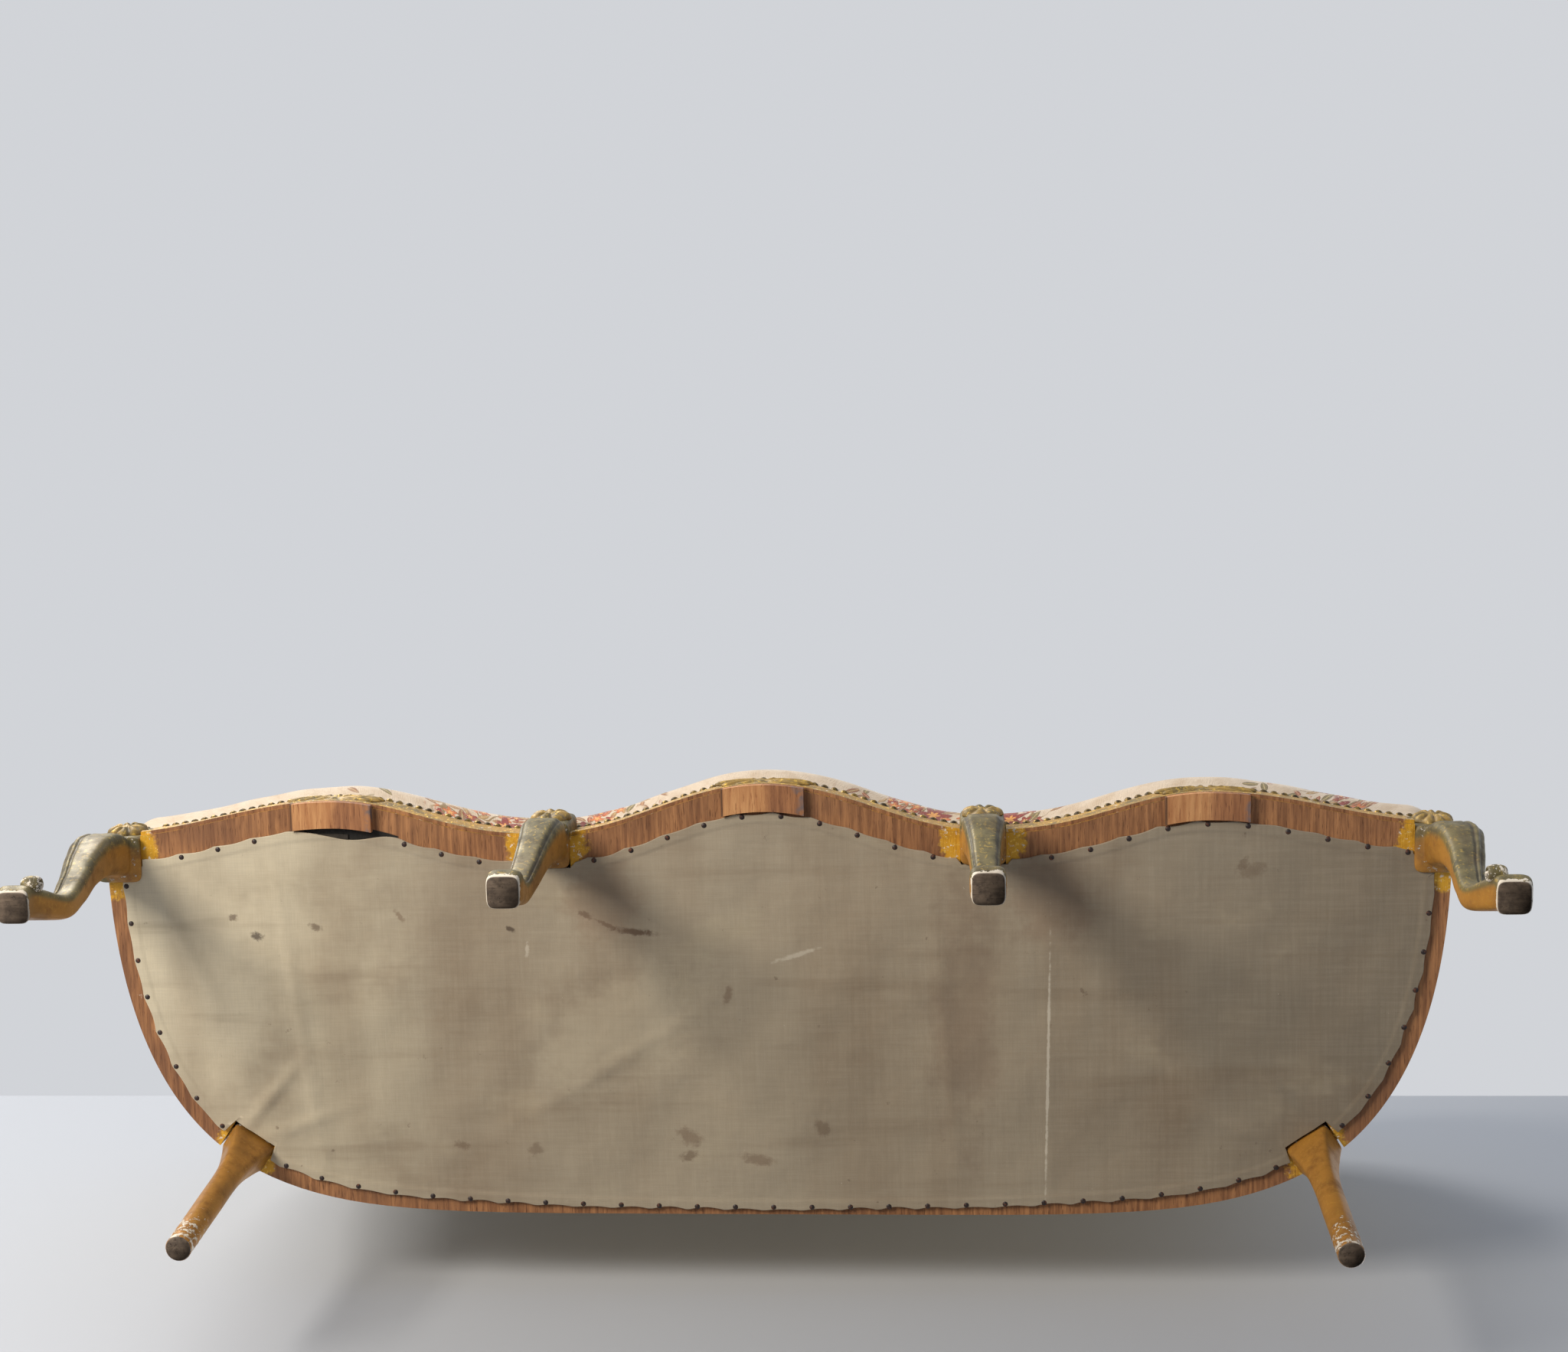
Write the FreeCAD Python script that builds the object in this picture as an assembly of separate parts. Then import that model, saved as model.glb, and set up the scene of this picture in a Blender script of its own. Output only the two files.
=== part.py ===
"""Three-seat cabriole sofa in giltwood, with a basket-shaped seat on six legs.

Sizes are in millimetres. +Z is up, the front faces -Y, and the origin is on the floor under the
middle of the sofa. The left-hand pieces are those at negative X.
"""
import FreeCAD, Part
import math
import os

# Seat frame: heights
rail_bottom = 300.0
rail_height = 75.0
rail_thickness = 50.0
rebate_height = 15.0
rebate_depth = 3.0
bead_height = 9.0
bead_projection = 5.0
bead_rise = 3.0

# Seat frame: the front's three bows and the basket behind them, along the rails' outer edge
middle_bow_y = -340.0
side_bow_x = 585.0
side_bow_y = -323.0
side_bow_sharpness = 1.4
valley_y = -275.0
corner_y = -280.0
seat_half_width = 901.5
basket_front_y = -287.0
basket_depth = 537.0
basket_side_power = 6.0
basket_rear_power = 2.39

# Legs
corner_leg_x = 883.0
corner_leg_y = -252.0
inner_leg_x = 291.5
inner_leg_y = -267.0
leg_block = 60.0
corner_foot_splay = 18.0
knee_swell = 13.0
ankle_draw = 17.0
ankle_size = 32.0
foot_size = 40.0
foot_block_height = 14.0
rear_leg_x = 738.0
rear_block_length = 64.0
rear_block_inset = 44.0
rear_block_proud = 2.0
rear_leg_diameter = 34.0
flare_start = 225.0
rear_foot_diameter = 32.0
rear_foot_rake = 24.0
rear_foot_inward = 8.0

# Joints
tenon_length = 22.0
tenon_thickness = 16.0
tenon_height = 44.0
tenon_clearance = 0.2
peg_diameter = 8.0
peg_length = 42.0
peg_setback = 7.5
peg_clearance = 0.05
tenon_root = 14.0
dowel_diameter = 10.0
dowel_length = 44.0

# Rails inside the seat frame, and the blocks under its bows
cross_rail_width = 40.0
cross_rail_height = 45.0
brace_thickness = 24.0
brace_height = 30.0
brace_reach = 105.0
apron_half_length = 55.0
apron_drop = 10.0
apron_depth = 31.0
apron_projection = 5.0

# Back and arms
back_height = 980.0
shoulder_height = 905.0
arm_height = 650.0
rake_slope = 0.1235
crest_width = 48.0
crest_height = 42.0
crest_corner = 12.0
frame_outer_inset = 4.0
frame_thickness = 40.0
stile_length = 52.0
stile_thickness = 36.0
upright_length = 46.0
arm_post_y = -165.0
arm_post_length = 42.0
arm_post_sweep = 26.0
arm_overhang = 42.0
arm_sweep_share = 0.8
lower_rail_bottom = 452.0
lower_rail_height = 45.0
ornament_half_length = 95.0
ornament_height = 34.0
ornament_projection = 16.0

# Upholstery
soft_clearance = 0.3
hessian_thickness = 1.2
border_thickness = 1.5
cover_thickness = 1.5
seat_pad_height = 75.0
seat_pad_edge = 22.0
seat_pad_bulge = 8.0
seat_pad_roll = 130.0
seat_corner_radius = 46.0
back_pad_edge = 16.0
back_pad_crown = 52.0
arm_pad_crown = 34.0
armrest_pad_length = 170.0
armrest_pad_height = 24.0
armrest_pad_width = 54.0
webbing_width = 52.0
webbing_thickness = 1.5
webbing_pitch = 118.0
back_webbing_pitch = 112.0
dust_cover_inset = 32.0
dust_cover_side_inset = 21.0
dust_cover_rear_inset = 7.0
dust_cover_thickness = 1.0
spring_diameter = 72.0
spring_waist = 52.0
spring_wire = 4.0
spring_pitch_x = 118.0
spring_pitch_y = 112.0
nail_diameter = 11.0
nail_height = 3.5
nail_pitch = 14.0
nail_clearance = 0.1
tack_diameter = 8.0
tack_height = 2.0
tack_pitch = 52.0
tack_inset = 5.0

# Worked out from the sizes above
rail_top = rail_bottom + rail_height
rebate_bottom = rail_top - rebate_height
half_block = leg_block / 2
peg_radius = peg_diameter / 2
frame_inner_inset = frame_outer_inset + frame_thickness
nodes = {}


def vec(x, y, z=0.0):
    return FreeCAD.Vector(x, y, z)


def raised_cosine(t):
    """1 at t = 0, falling smoothly to 0 at t = 1."""
    return 0.5 * (1.0 + math.cos(math.pi * min(max(t, 0.0), 1.0)))


# Plan of the seat


def front_edge_y(x):
    """Y of the front rails' outer edge: three bows with valleys at the inner legs."""
    x = abs(x)
    if x <= inner_leg_x:
        return valley_y + (middle_bow_y - valley_y) * raised_cosine(x / inner_leg_x)
    if x <= side_bow_x:
        rise = raised_cosine((side_bow_x - x) / (side_bow_x - inner_leg_x)) ** side_bow_sharpness
        return valley_y + (side_bow_y - valley_y) * rise
    reach = seat_half_width - side_bow_x
    return corner_y + (side_bow_y - corner_y) * raised_cosine((x - side_bow_x) / reach)


def front_point(x, inset, z=0.0):
    """Point of the front edge at x, moved in from the edge by inset along its normal."""
    step = 0.5
    slope = (front_edge_y(x + step) - front_edge_y(x - step)) / (2 * step)
    scale = inset / math.hypot(slope, 1.0)
    return vec(x - slope * scale, front_edge_y(x) + scale, z)


def basket_half():
    """Points of the basket's right half, from the rear centre to the front, with their length."""
    count = 160
    turn_x = 0.75 * seat_half_width
    points = []
    for i in range(count + 1):
        x = turn_x * i / count
        share = 1.0 - (x / seat_half_width) ** basket_side_power
        points.append((x, basket_front_y + basket_depth * share ** (1.0 / basket_rear_power)))
    turn_y = points[-1][1]
    for i in range(1, count + 1):
        y = turn_y + (basket_front_y - turn_y) * i / count
        reach = max(y - basket_front_y, 0.0) / basket_depth
        share = 1.0 - reach ** basket_rear_power
        points.append((seat_half_width * share ** (1.0 / basket_side_power), y))
    table = [(0.0, points[0][0], points[0][1])]
    for (x0, y0), (x1, y1) in zip(points, points[1:]):
        table.append((table[-1][0] + math.hypot(x1 - x0, y1 - y0), x1, y1))
    return table


basket_table = basket_half()


def basket_xy(s):
    """Plan position at length s from the rear centre, negative s on the left."""
    side = -1.0 if s < 0 else 1.0
    s = abs(s)
    low, high = 0, len(basket_table) - 1
    while high - low > 1:
        mid = (low + high) // 2
        if basket_table[mid][0] <= s:
            low = mid
        else:
            high = mid
    s0, x0, y0 = basket_table[low]
    s1, x1, y1 = basket_table[high]
    t = (s - s0) / (s1 - s0)
    return side * (x0 + (x1 - x0) * t), y0 + (y1 - y0) * t


def basket_normal(s):
    """Outward unit normal of the basket at s."""
    step = 4.0
    x0, y0 = basket_xy(s - step)
    x1, y1 = basket_xy(s + step)
    length = math.hypot(x1 - x0, y1 - y0)
    return (-(y1 - y0) / length, (x1 - x0) / length)


def basket_point(s, outward, z=0.0):
    x, y = basket_xy(s)
    nx, ny = basket_normal(s)
    return vec(x + nx * outward, y + ny * outward, z)


def length_at_x(x):
    for s0, x0, y0 in basket_table:
        if x0 >= x:
            return s0
    return basket_table[-1][0]


def length_at_y(y):
    for s0, x0, y0 in reversed(basket_table):
        if y0 >= y:
            return s0
    return 0.0


s_inner = length_at_x(inner_leg_x)
s_rear_leg = length_at_x(rear_leg_x)
s_arm = length_at_y(arm_post_y)
s_arm_end = s_arm + arm_overhang


def stations(first, last, count):
    return [first + (last - first) * i / (count - 1) for i in range(count)]


def spline(points):
    curve = Part.BSplineCurve()
    curve.interpolate(points)
    return curve.toShape()


def line(a, b):
    return Part.LineSegment(a, b).toShape()


def band(outer, inner, height):
    """Upright wall between two plan curves given as points at one height."""
    edges = [spline(outer), line(outer[-1], inner[-1]), spline(inner), line(inner[0], outer[0])]
    return Part.Face(Part.Wire(Part.__sortEdges__(edges))).extrude(vec(0, 0, height))


def front_band(x0, x1, inset_out, inset_in, z, height, count=13):
    """Front wall from x0 to x1, with its ends square to X."""
    spare = 40.0
    xs = stations(x0 - spare, x1 + spare, count + 4)
    wall = band([front_point(x, inset_out, z) for x in xs],
                [front_point(x, inset_in, z) for x in xs], height)
    keep = Part.makeBox(x1 - x0, 800.0, height, vec(x0, middle_bow_y - 100.0, z))
    return wall.common(keep).Solids[0]


def basket_band(s0, s1, inset_out, inset_in, z, height, count=13):
    ss = stations(s0, s1, count)
    return band([basket_point(s, -inset_out, z) for s in ss],
                [basket_point(s, -inset_in, z) for s in ss], height)


def outline_wire(inset, z, back_inset=None):
    """Closed outline of the seat, inset from the rails' outer edge.

    back_inset gives the basket's own inset at a length s, where that differs from the front's.
    """
    radius = max(seat_corner_radius - inset, 14.0)
    corner_x = seat_half_width - inset - radius
    front = [front_point(x, inset, z) for x in stations(-corner_x, corner_x, 33)]
    corner_front = front[-1]
    centre_y = corner_front.y + radius
    s_side = length_at_y(centre_y)
    ss = stations(s_side, -s_side, 33)
    back = [basket_point(s, -(back_inset(s) if back_inset else inset), z) for s in ss]
    mid = math.sqrt(0.5)
    bend = vec(corner_front.x + (back[0].x - corner_front.x) * mid,
               back[0].y + (corner_front.y - back[0].y) * mid, z)
    bend_left = vec(-bend.x, bend.y, z)
    edges = [spline(front), Part.Arc(front[-1], bend, back[0]).toShape(), spline(back),
             Part.Arc(back[-1], bend_left, front[0]).toShape()]
    return Part.Wire(edges)


def rounded_rect(width, depth, radius):
    """Corners and mid-arc points of a rounded rectangle about 0, 0."""
    w, d = width / 2, depth / 2
    r = min(radius, 0.98 * w, 0.98 * d)
    k = r * (1.0 - math.sqrt(0.5))
    return [((-w + r, -d), (w - r, -d), (w - k, -d + k)),
            ((w, -d + r), (w, d - r), (w - k, d - k)),
            ((w - r, d), (-w + r, d), (-w + k, d - k)),
            ((-w, d - r), (-w, -d + r), (-w + k, -d + k))]


def rounded_wire(place, width, depth, radius):
    """Wire of a rounded rectangle, with place turning its (u, v) into a point in space."""
    sides = rounded_rect(width, depth, radius)
    edges = []
    for i, (start, end, bend) in enumerate(sides):
        following = sides[(i + 1) % 4][0]
        edges.append(line(place(*start), place(*end)))
        edges.append(Part.Arc(place(*end), place(*bend), place(*following)).toShape())
    return Part.Wire(edges)


def level_section(x, y, z, width, depth, radius, turn=0.0):
    """Level section of a post, turned about Z by an angle in radians."""
    c, s = math.cos(turn), math.sin(turn)
    return rounded_wire(lambda u, v: vec(x + c * u - s * v, y + s * u + c * v, z),
                        width, depth, radius)


def turned_box(x, y, z, length, width, height, turn):
    """Box centred at x, y in plan, standing on z, with its length along the turned X."""
    box = Part.makeBox(length, width, height, vec(-length / 2, -width / 2, 0))
    box.rotate(vec(0, 0, 0), vec(0, 0, 1), math.degrees(turn))
    box.translate(vec(x, y, z))
    return box


def largest(shape):
    return max(shape.Solids, key=lambda solid: solid.Volume)


def put(name, *solids):
    """Store one node: a single solid, or a group of like solids."""
    nodes[name] = solids[0] if len(solids) == 1 else Part.makeCompound(list(solids))


# Section planes of the back: d is outward from the raked back surface, z is the height


def shell_point(s, d, z):
    return basket_point(s, d + rake_slope * (z - rail_bottom), z)


def crest_middle_z(s):
    """Height of the crest's centre line: a hump, shoulders at the rear legs, then the arms."""
    s = abs(s)
    top = back_height - crest_height / 2
    shoulder = shoulder_height - crest_height / 2
    arm = arm_height - crest_height / 2
    if s <= s_rear_leg:
        return shoulder + (top - shoulder) * raised_cosine(s / s_rear_leg)
    run = arm_sweep_share * (s_arm - s_rear_leg)
    return arm + (shoulder - arm) * raised_cosine((s - s_rear_leg) / run)


def crest_half(s):
    """Half the crest's height measured upright, which grows where the crest slopes."""
    step = 1.0
    slope = (crest_middle_z(s + step) - crest_middle_z(s - step)) / (2 * step)
    return 0.5 * crest_height * math.hypot(1.0, slope)


def crest_underside(s):
    return crest_middle_z(s) - crest_half(s)


crest_inset = frame_outer_inset - 6.0 + crest_width / 2


def crest_section(s):
    centre = crest_middle_z(s)
    return rounded_wire(lambda u, v: shell_point(s, u - crest_inset, centre + v),
                        crest_width, 2 * crest_half(s), crest_corner)


def crest_piece(s0, s1, count):
    return Part.makeLoft([crest_section(s) for s in stations(s0, s1, count)], True, False)


def shell_slab(s0, s1, inset_out, inset_in, bottom, top, count):
    """Wall that follows the raked back, with bottom and top given as functions of s."""
    wires = []
    for s in stations(s0, s1, count):
        low, high = bottom(s), top(s)
        corners = [shell_point(s, -inset_out, low), shell_point(s, -inset_out, high),
                   shell_point(s, -inset_in, high), shell_point(s, -inset_in, low)]
        wires.append(Part.makePolygon(corners + corners[:1]))
    return Part.makeLoft(wires, True, False)


def shell_pad(s0, s1, inset, edge, crown, bottom, top, count):
    """Crowned pad on the raked back: full in the middle and drawn in along its four sides."""
    wires = []
    for i, s in enumerate(stations(s0, s1, count)):
        across = 2.0 * i / (count - 1) - 1.0
        swell = crown * (1.0 - 0.82 * abs(across) ** 3)
        low, high = bottom(s), top(s)
        mid = 0.5 * (low + high)
        corners = [shell_point(s, -inset, low), shell_point(s, -inset, high),
                   shell_point(s, -inset - edge * 0.7, high), shell_point(s, -inset - edge * 0.7, low)]
        front = Part.Arc(corners[2], shell_point(s, -inset - swell, mid), corners[3]).toShape()
        wires.append(Part.Wire([line(corners[0], corners[1]), line(corners[1], corners[2]),
                                front, line(corners[3], corners[0])]))
    return Part.makeLoft(wires, True, False)


# Rails of the seat frame


def show_rail_front(x0, x1):
    body = front_band(x0, x1, 0.0, rail_thickness, rail_bottom, rebate_bottom - rail_bottom)
    top = front_band(x0, x1, rebate_depth, rail_thickness, rebate_bottom, rebate_height)
    bead = front_band(x0, x1, -bead_projection, 1.0, rail_bottom + bead_rise, bead_height)
    return body.fuse([top, bead]).removeSplitter()


def show_rail_side(s0, s1):
    body = basket_band(s0, s1, 0.0, rail_thickness, rail_bottom, rebate_bottom - rail_bottom)
    top = basket_band(s0, s1, rebate_depth, rail_thickness, rebate_bottom, rebate_height)
    return body.fuse(top).removeSplitter()


front_rails = {
    "front_rail_left": show_rail_front(-corner_leg_x + half_block, -inner_leg_x - half_block),
    "front_rail_middle": show_rail_front(-inner_leg_x + half_block, inner_leg_x - half_block),
    "front_rail_right": show_rail_front(inner_leg_x + half_block, corner_leg_x - half_block),
}
side_rails = {}
block_reach = rear_block_length / 2 - 12.0
for side, name in ((-1.0, "side_rail_left"), (1.0, "side_rail_right")):
    start = side * (s_rear_leg + block_reach)
    end = side * (length_at_y(corner_leg_y) + 10.0)
    rail = show_rail_side(min(start, end), max(start, end))
    trim = Part.makeBox(400.0, 400.0, rail_height, vec(side * seat_half_width - 200.0,
                                                      corner_leg_y + half_block - 400.0, rail_bottom))
    side_rails[name] = largest(rail.cut(trim))
rear_end = s_rear_leg - block_reach
rear_rail = show_rail_side(-rear_end, rear_end)

# Front legs: square block at the rails, a swelling knee, a slim ankle and a scrolled toe


def front_leg(x, y, facing_x, facing_y, splay_x):
    """Cabriole leg whose knee and toe swell towards (facing_x, facing_y)."""
    levels = [
        (rail_bottom, 0.0, leg_block, 9.0),
        (0.85 * rail_bottom, knee_swell, 0.93 * leg_block, 12.0),
        (0.68 * rail_bottom, 0.55 * knee_swell, 0.76 * leg_block, 13.0),
        (0.45 * rail_bottom, -0.6 * ankle_draw, ankle_size + 5.0, 11.0),
        (0.27 * rail_bottom, -ankle_draw, ankle_size, 10.0),
        (0.14 * rail_bottom, -0.35 * ankle_draw, ankle_size + 8.0, 11.0),
        (foot_block_height, 0.2 * ankle_draw, foot_size + 4.0, 12.0),
    ]
    wires = []
    for z, forward, size, radius in levels:
        lean = splay_x * (1.0 - z / rail_bottom)
        wires.append(level_section(x + lean + facing_x * forward, y + facing_y * forward, z,
                                   size, size, radius))
    shaft = Part.makeLoft(wires, True, False)
    foot = level_section(x + splay_x, y, 0.0, foot_size, foot_size, 9.0)
    foot_block = Part.Face(foot).extrude(vec(0, 0, foot_block_height))
    block = Part.Face(level_section(x, y, rail_bottom, leg_block, leg_block, 9.0)).extrude(
        vec(0, 0, rail_height))
    return shaft.fuse([foot_block, block]).removeSplitter()


diagonal = math.sqrt(0.5)
leg_places = {
    "front_leg_left_corner": (-corner_leg_x, corner_leg_y, -diagonal, -diagonal, -corner_foot_splay),
    "front_leg_left_inner": (-inner_leg_x, inner_leg_y, 0.0, -1.0, 0.0),
    "front_leg_right_inner": (inner_leg_x, inner_leg_y, 0.0, -1.0, 0.0),
    "front_leg_right_corner": (corner_leg_x, corner_leg_y, diagonal, -diagonal, corner_foot_splay),
}
rebate_void = Part.Face(outline_wire(-120.0, rebate_bottom)).cut(
    Part.Face(outline_wire(rebate_depth, rebate_bottom))).extrude(vec(0, 0, rebate_height + 1.0))
front_legs = {name: largest(front_leg(*place).cut(rebate_void)) for name, place in leg_places.items()}

# Rear legs, each in one piece with the stile of the back


def rear_leg(side):
    s = side * s_rear_leg
    nx, ny = basket_normal(s)
    turn = math.atan2(ny, nx) - math.pi / 2
    depth = rear_block_inset + rear_block_proud
    top = basket_point(s, rear_block_proud - depth / 2, 0.0)
    foot_x, foot_y = top.x - side * rear_foot_inward, top.y + rear_foot_rake
    levels = [(0.0, rear_foot_diameter, rear_foot_diameter),
              (flare_start, rear_leg_diameter, rear_leg_diameter)]
    for share in (0.25, 0.45, 0.6, 0.75, 0.88, 1.0):
        grow = 1.0 - math.sqrt(1.0 - share ** 2)
        levels.append((flare_start + (rail_bottom - flare_start) * share,
                       rear_leg_diameter + (rear_block_length - rear_leg_diameter) * grow,
                       rear_leg_diameter + (depth - rear_leg_diameter) * grow))
    wires = []
    for z, length, width in levels:
        t = z / rail_bottom
        wires.append(level_section(foot_x + (top.x - foot_x) * t, foot_y + (top.y - foot_y) * t, z,
                                   length, width, rear_leg_diameter / 2 - 11.0 * t ** 3, turn))
    leg = Part.makeLoft(wires, True, True)
    block = Part.Face(level_section(top.x, top.y, rail_bottom, rear_block_length, depth, 6.0,
                                    turn)).extrude(vec(0, 0, rail_height))
    centre = -(frame_outer_inset + frame_inner_inset) / 2
    ends = []
    for z in (rail_top, crest_middle_z(s)):
        p = shell_point(s, centre, z)
        ends.append(level_section(p.x, p.y, z, stile_length, stile_thickness, 6.0, turn))
    stile = Part.makeLoft(ends, True, True)
    return leg.fuse([block, stile]).removeSplitter(), top, turn


rear_legs = {}
rear_frames = {}
for side, name in ((-1.0, "rear_leg_left"), (1.0, "rear_leg_right")):
    rear_legs[name], rear_top, rear_turn = rear_leg(side)
    rear_frames[name] = (side, rear_top, rear_turn)
    block_space = turned_box(rear_top.x, rear_top.y, rail_bottom, rear_block_length, 160.0,
                             rail_height, rear_turn)
    beside = "side_rail_%s" % name[len("rear_leg_"):]
    side_rails[beside] = largest(side_rails[beside].cut(block_space))
    rear_rail = largest(rear_rail.cut(block_space))

# Mortise and tenon joints of the seat frame, each held by a round peg

tenon_bottom = rail_bottom + (rebate_bottom - rail_bottom - tenon_height) / 2
pegs = []


def tenon_joint(rail, post, x, y, turn, peg_z, peg_side, peg_start):
    """Tenon at a post's face (x, y), pointing along turn into the post, with its peg.

    The peg starts flush with the post's inner face, peg_start from the tenon's middle.
    """
    dx, dy = math.cos(turn), math.sin(turn)
    middle = (tenon_length - tenon_root) / 2
    tenon = turned_box(x + dx * middle, y + dy * middle, tenon_bottom, tenon_length + tenon_root,
                       tenon_thickness, tenon_height, turn)
    spare = tenon_clearance
    mortise = turned_box(x + dx * tenon_length / 2, y + dy * tenon_length / 2, tenon_bottom - spare,
                         tenon_length + 2 * spare, tenon_thickness + 2 * spare,
                         tenon_height + 2 * spare, turn)
    px, py = -dy * peg_side, dx * peg_side
    centre = vec(x + dx * peg_setback, y + dy * peg_setback, peg_z)
    start = centre + vec(px, py) * peg_start
    way = vec(-px, -py)
    hole = Part.makeCylinder(peg_radius + peg_clearance, peg_length + 2.0, start - way, way)
    pegs.append(Part.makeCylinder(peg_radius, peg_length, start, way))
    return rail.fuse(tenon).removeSplitter().cut(hole), post.cut(mortise).cut(hole)


peg_low = tenon_bottom + 0.25 * tenon_height
peg_high = tenon_bottom + 0.75 * tenon_height


def join(rails, rail, posts, post, *place):
    rails[rail], posts[post] = tenon_joint(rails[rail], posts[post], *place)


def rail_middle_y(x):
    return front_point(x, rail_thickness / 2).y


for side, hand in ((-1.0, "left"), (1.0, "right")):
    inward, outward = (0.0, math.pi) if side < 0 else (math.pi, 0.0)
    corner, inner = "front_leg_%s_corner" % hand, "front_leg_%s_inner" % hand
    rail = "front_rail_%s" % hand
    x = side * (corner_leg_x - half_block)
    y = rail_middle_y(x)
    join(front_rails, rail, front_legs, corner, x, y, outward, peg_low, side,
         corner_leg_y + half_block - y)
    x = side * (inner_leg_x + half_block)
    y = rail_middle_y(x)
    join(front_rails, rail, front_legs, inner, x, y, inward, peg_low, -side,
         inner_leg_y + half_block - y)
    x = side * (inner_leg_x - half_block)
    y = rail_middle_y(x)
    join(front_rails, "front_rail_middle", front_legs, inner, x, y, outward, peg_low, side,
         inner_leg_y + half_block - y)
    y = corner_leg_y + half_block
    x = basket_point(side * length_at_y(y), -rail_thickness / 2).x
    join(side_rails, "side_rail_%s" % hand, front_legs, corner, x, y, -math.pi / 2, peg_high, -side,
         abs(x) - corner_leg_x + half_block)

rear_rails = {"rear_rail": rear_rail}
for name, (side, top, turn) in rear_frames.items():
    hand = name[len("rear_leg_"):]
    along = vec(math.cos(turn), math.sin(turn))
    for direction, rails, rail in ((side, rear_rails, "rear_rail"),
                                   (-side, side_rails, "side_rail_%s" % hand)):
        face = top - along * (direction * rear_block_length / 2)
        angle = turn if direction > 0 else turn + math.pi
        join(rails, rail, rear_legs, name, face.x, face.y, angle, peg_low, -direction,
             (rear_block_inset + rear_block_proud) / 2)

# Cross rails from the inner legs to the rear rail

cross_bottom = rail_bottom
cross_rails = {}
for side, hand in ((-1.0, "left"), (1.0, "right")):
    x = side * inner_leg_x
    front = inner_leg_y + half_block
    s = side * s_inner
    back = basket_point(s, -rail_thickness).y
    bar = Part.makeBox(cross_rail_width, back + 40.0 - front, cross_rail_height,
                       vec(x - cross_rail_width / 2, front, cross_bottom))
    bar = largest(bar.cut(rear_rails["rear_rail"]))
    for post, y, turn in ((front_legs, front, -math.pi / 2), (rear_rails, back, math.pi / 2)):
        key = "front_leg_%s_inner" % hand if post is front_legs else "rear_rail"
        reach = 0.6 * tenon_length
        dy = math.sin(turn)
        height = 0.6 * cross_rail_height
        low = cross_bottom + 0.2 * cross_rail_height
        tenon = turned_box(x, y + dy * (reach - 12.0) / 2, low, reach + 12.0, tenon_thickness, height,
                           turn)
        spare = tenon_clearance
        mortise = turned_box(x, y + dy * (reach + spare - 12.0) / 2, low - spare,
                             reach + spare + 12.0, tenon_thickness + 2 * spare,
                             height + 2 * spare, turn)
        post[key] = post[key].cut(mortise)
        bar = bar.fuse(tenon)
    cross_rails["cross_rail_%s" % hand] = bar.removeSplitter()

# Diagonal braces behind the front corners

braces = []
for side, hand in ((-1.0, "left"), (1.0, "right")):
    turn = math.pi / 4 * side
    mid_x = side * (corner_leg_x - half_block - brace_reach / 2)
    mid_y = corner_leg_y + half_block + brace_reach / 2
    bar = turned_box(mid_x, mid_y, rail_top - brace_height - 6.0, 2.6 * brace_reach, brace_thickness,
                     brace_height, turn)
    inside = Part.Face(outline_wire(rail_thickness + tenon_clearance, rail_bottom))
    braces.append(largest(bar.common(inside.extrude(vec(0, 0, rail_height)))))

for group in (front_rails, side_rails, rear_rails, front_legs, cross_rails):
    for name, solid in group.items():
        put(name, solid)
put("corner_braces", *braces)
put("tenon_pegs", *pegs)

# Dropped blocks glued under the middle of each bow

for name, x in (("apron_block_left", -side_bow_x), ("apron_block_middle", 0.0),
                ("apron_block_right", side_bow_x)):
    put(name, front_band(x - apron_half_length, x + apron_half_length, -apron_projection,
                         apron_depth, rail_bottom - apron_drop, apron_drop, 7))

# Back: crest and arm rails, dowelled end to end

crest = {
    "crest_rail_left": crest_piece(-s_rear_leg, -s_inner, 7),
    "crest_rail_middle": crest_piece(-s_inner, s_inner, 7),
    "crest_rail_right": crest_piece(s_inner, s_rear_leg, 7),
    "arm_rail_left": crest_piece(-s_arm_end, -s_rear_leg, 13),
    "arm_rail_right": crest_piece(s_rear_leg, s_arm_end, 13),
}
dowels = []
for s, first, second in ((-s_rear_leg, "arm_rail_left", "crest_rail_left"),
                         (-s_inner, "crest_rail_left", "crest_rail_middle"),
                         (s_inner, "crest_rail_middle", "crest_rail_right"),
                         (s_rear_leg, "crest_rail_right", "arm_rail_right")):
    step = 2.0
    middle = shell_point(s, -crest_inset, crest_middle_z(s) + 0.12 * crest_height)
    way = shell_point(s + step, -crest_inset, crest_middle_z(s)) - shell_point(
        s - step, -crest_inset, crest_middle_z(s))
    way.normalize()
    start = middle - way * (dowel_length / 2)
    hole = Part.makeCylinder(dowel_diameter / 2 + peg_clearance, dowel_length + 1.0,
                             start - way * 0.5, way)
    dowels.append(Part.makeCylinder(dowel_diameter / 2, dowel_length, start, way))
    crest[first] = crest[first].cut(hole)
    crest[second] = crest[second].cut(hole)

# Posts of the back and arms, cut to the rails that they carry


def post_tenon(s, length, z, down):
    """Upright tenon of a post that leans with the back, and its mortise, at height z."""
    centre = shell_point(s, -(frame_outer_inset + frame_inner_inset) / 2, z)
    nx, ny = basket_normal(s)
    turn = math.atan2(ny, nx) - math.pi / 2
    low = z - (tenon_length * 0.6 if down else 12.0)
    height = tenon_length * 0.6 + 12.0
    spare = tenon_clearance
    tenon = turned_box(centre.x, centre.y, low, 0.55 * length, tenon_thickness, height, turn)
    mortise = turned_box(centre.x, centre.y, low - spare, 0.55 * length + 2 * spare,
                         tenon_thickness + 2 * spare, height + 2 * spare, turn)
    return tenon, mortise


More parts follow.
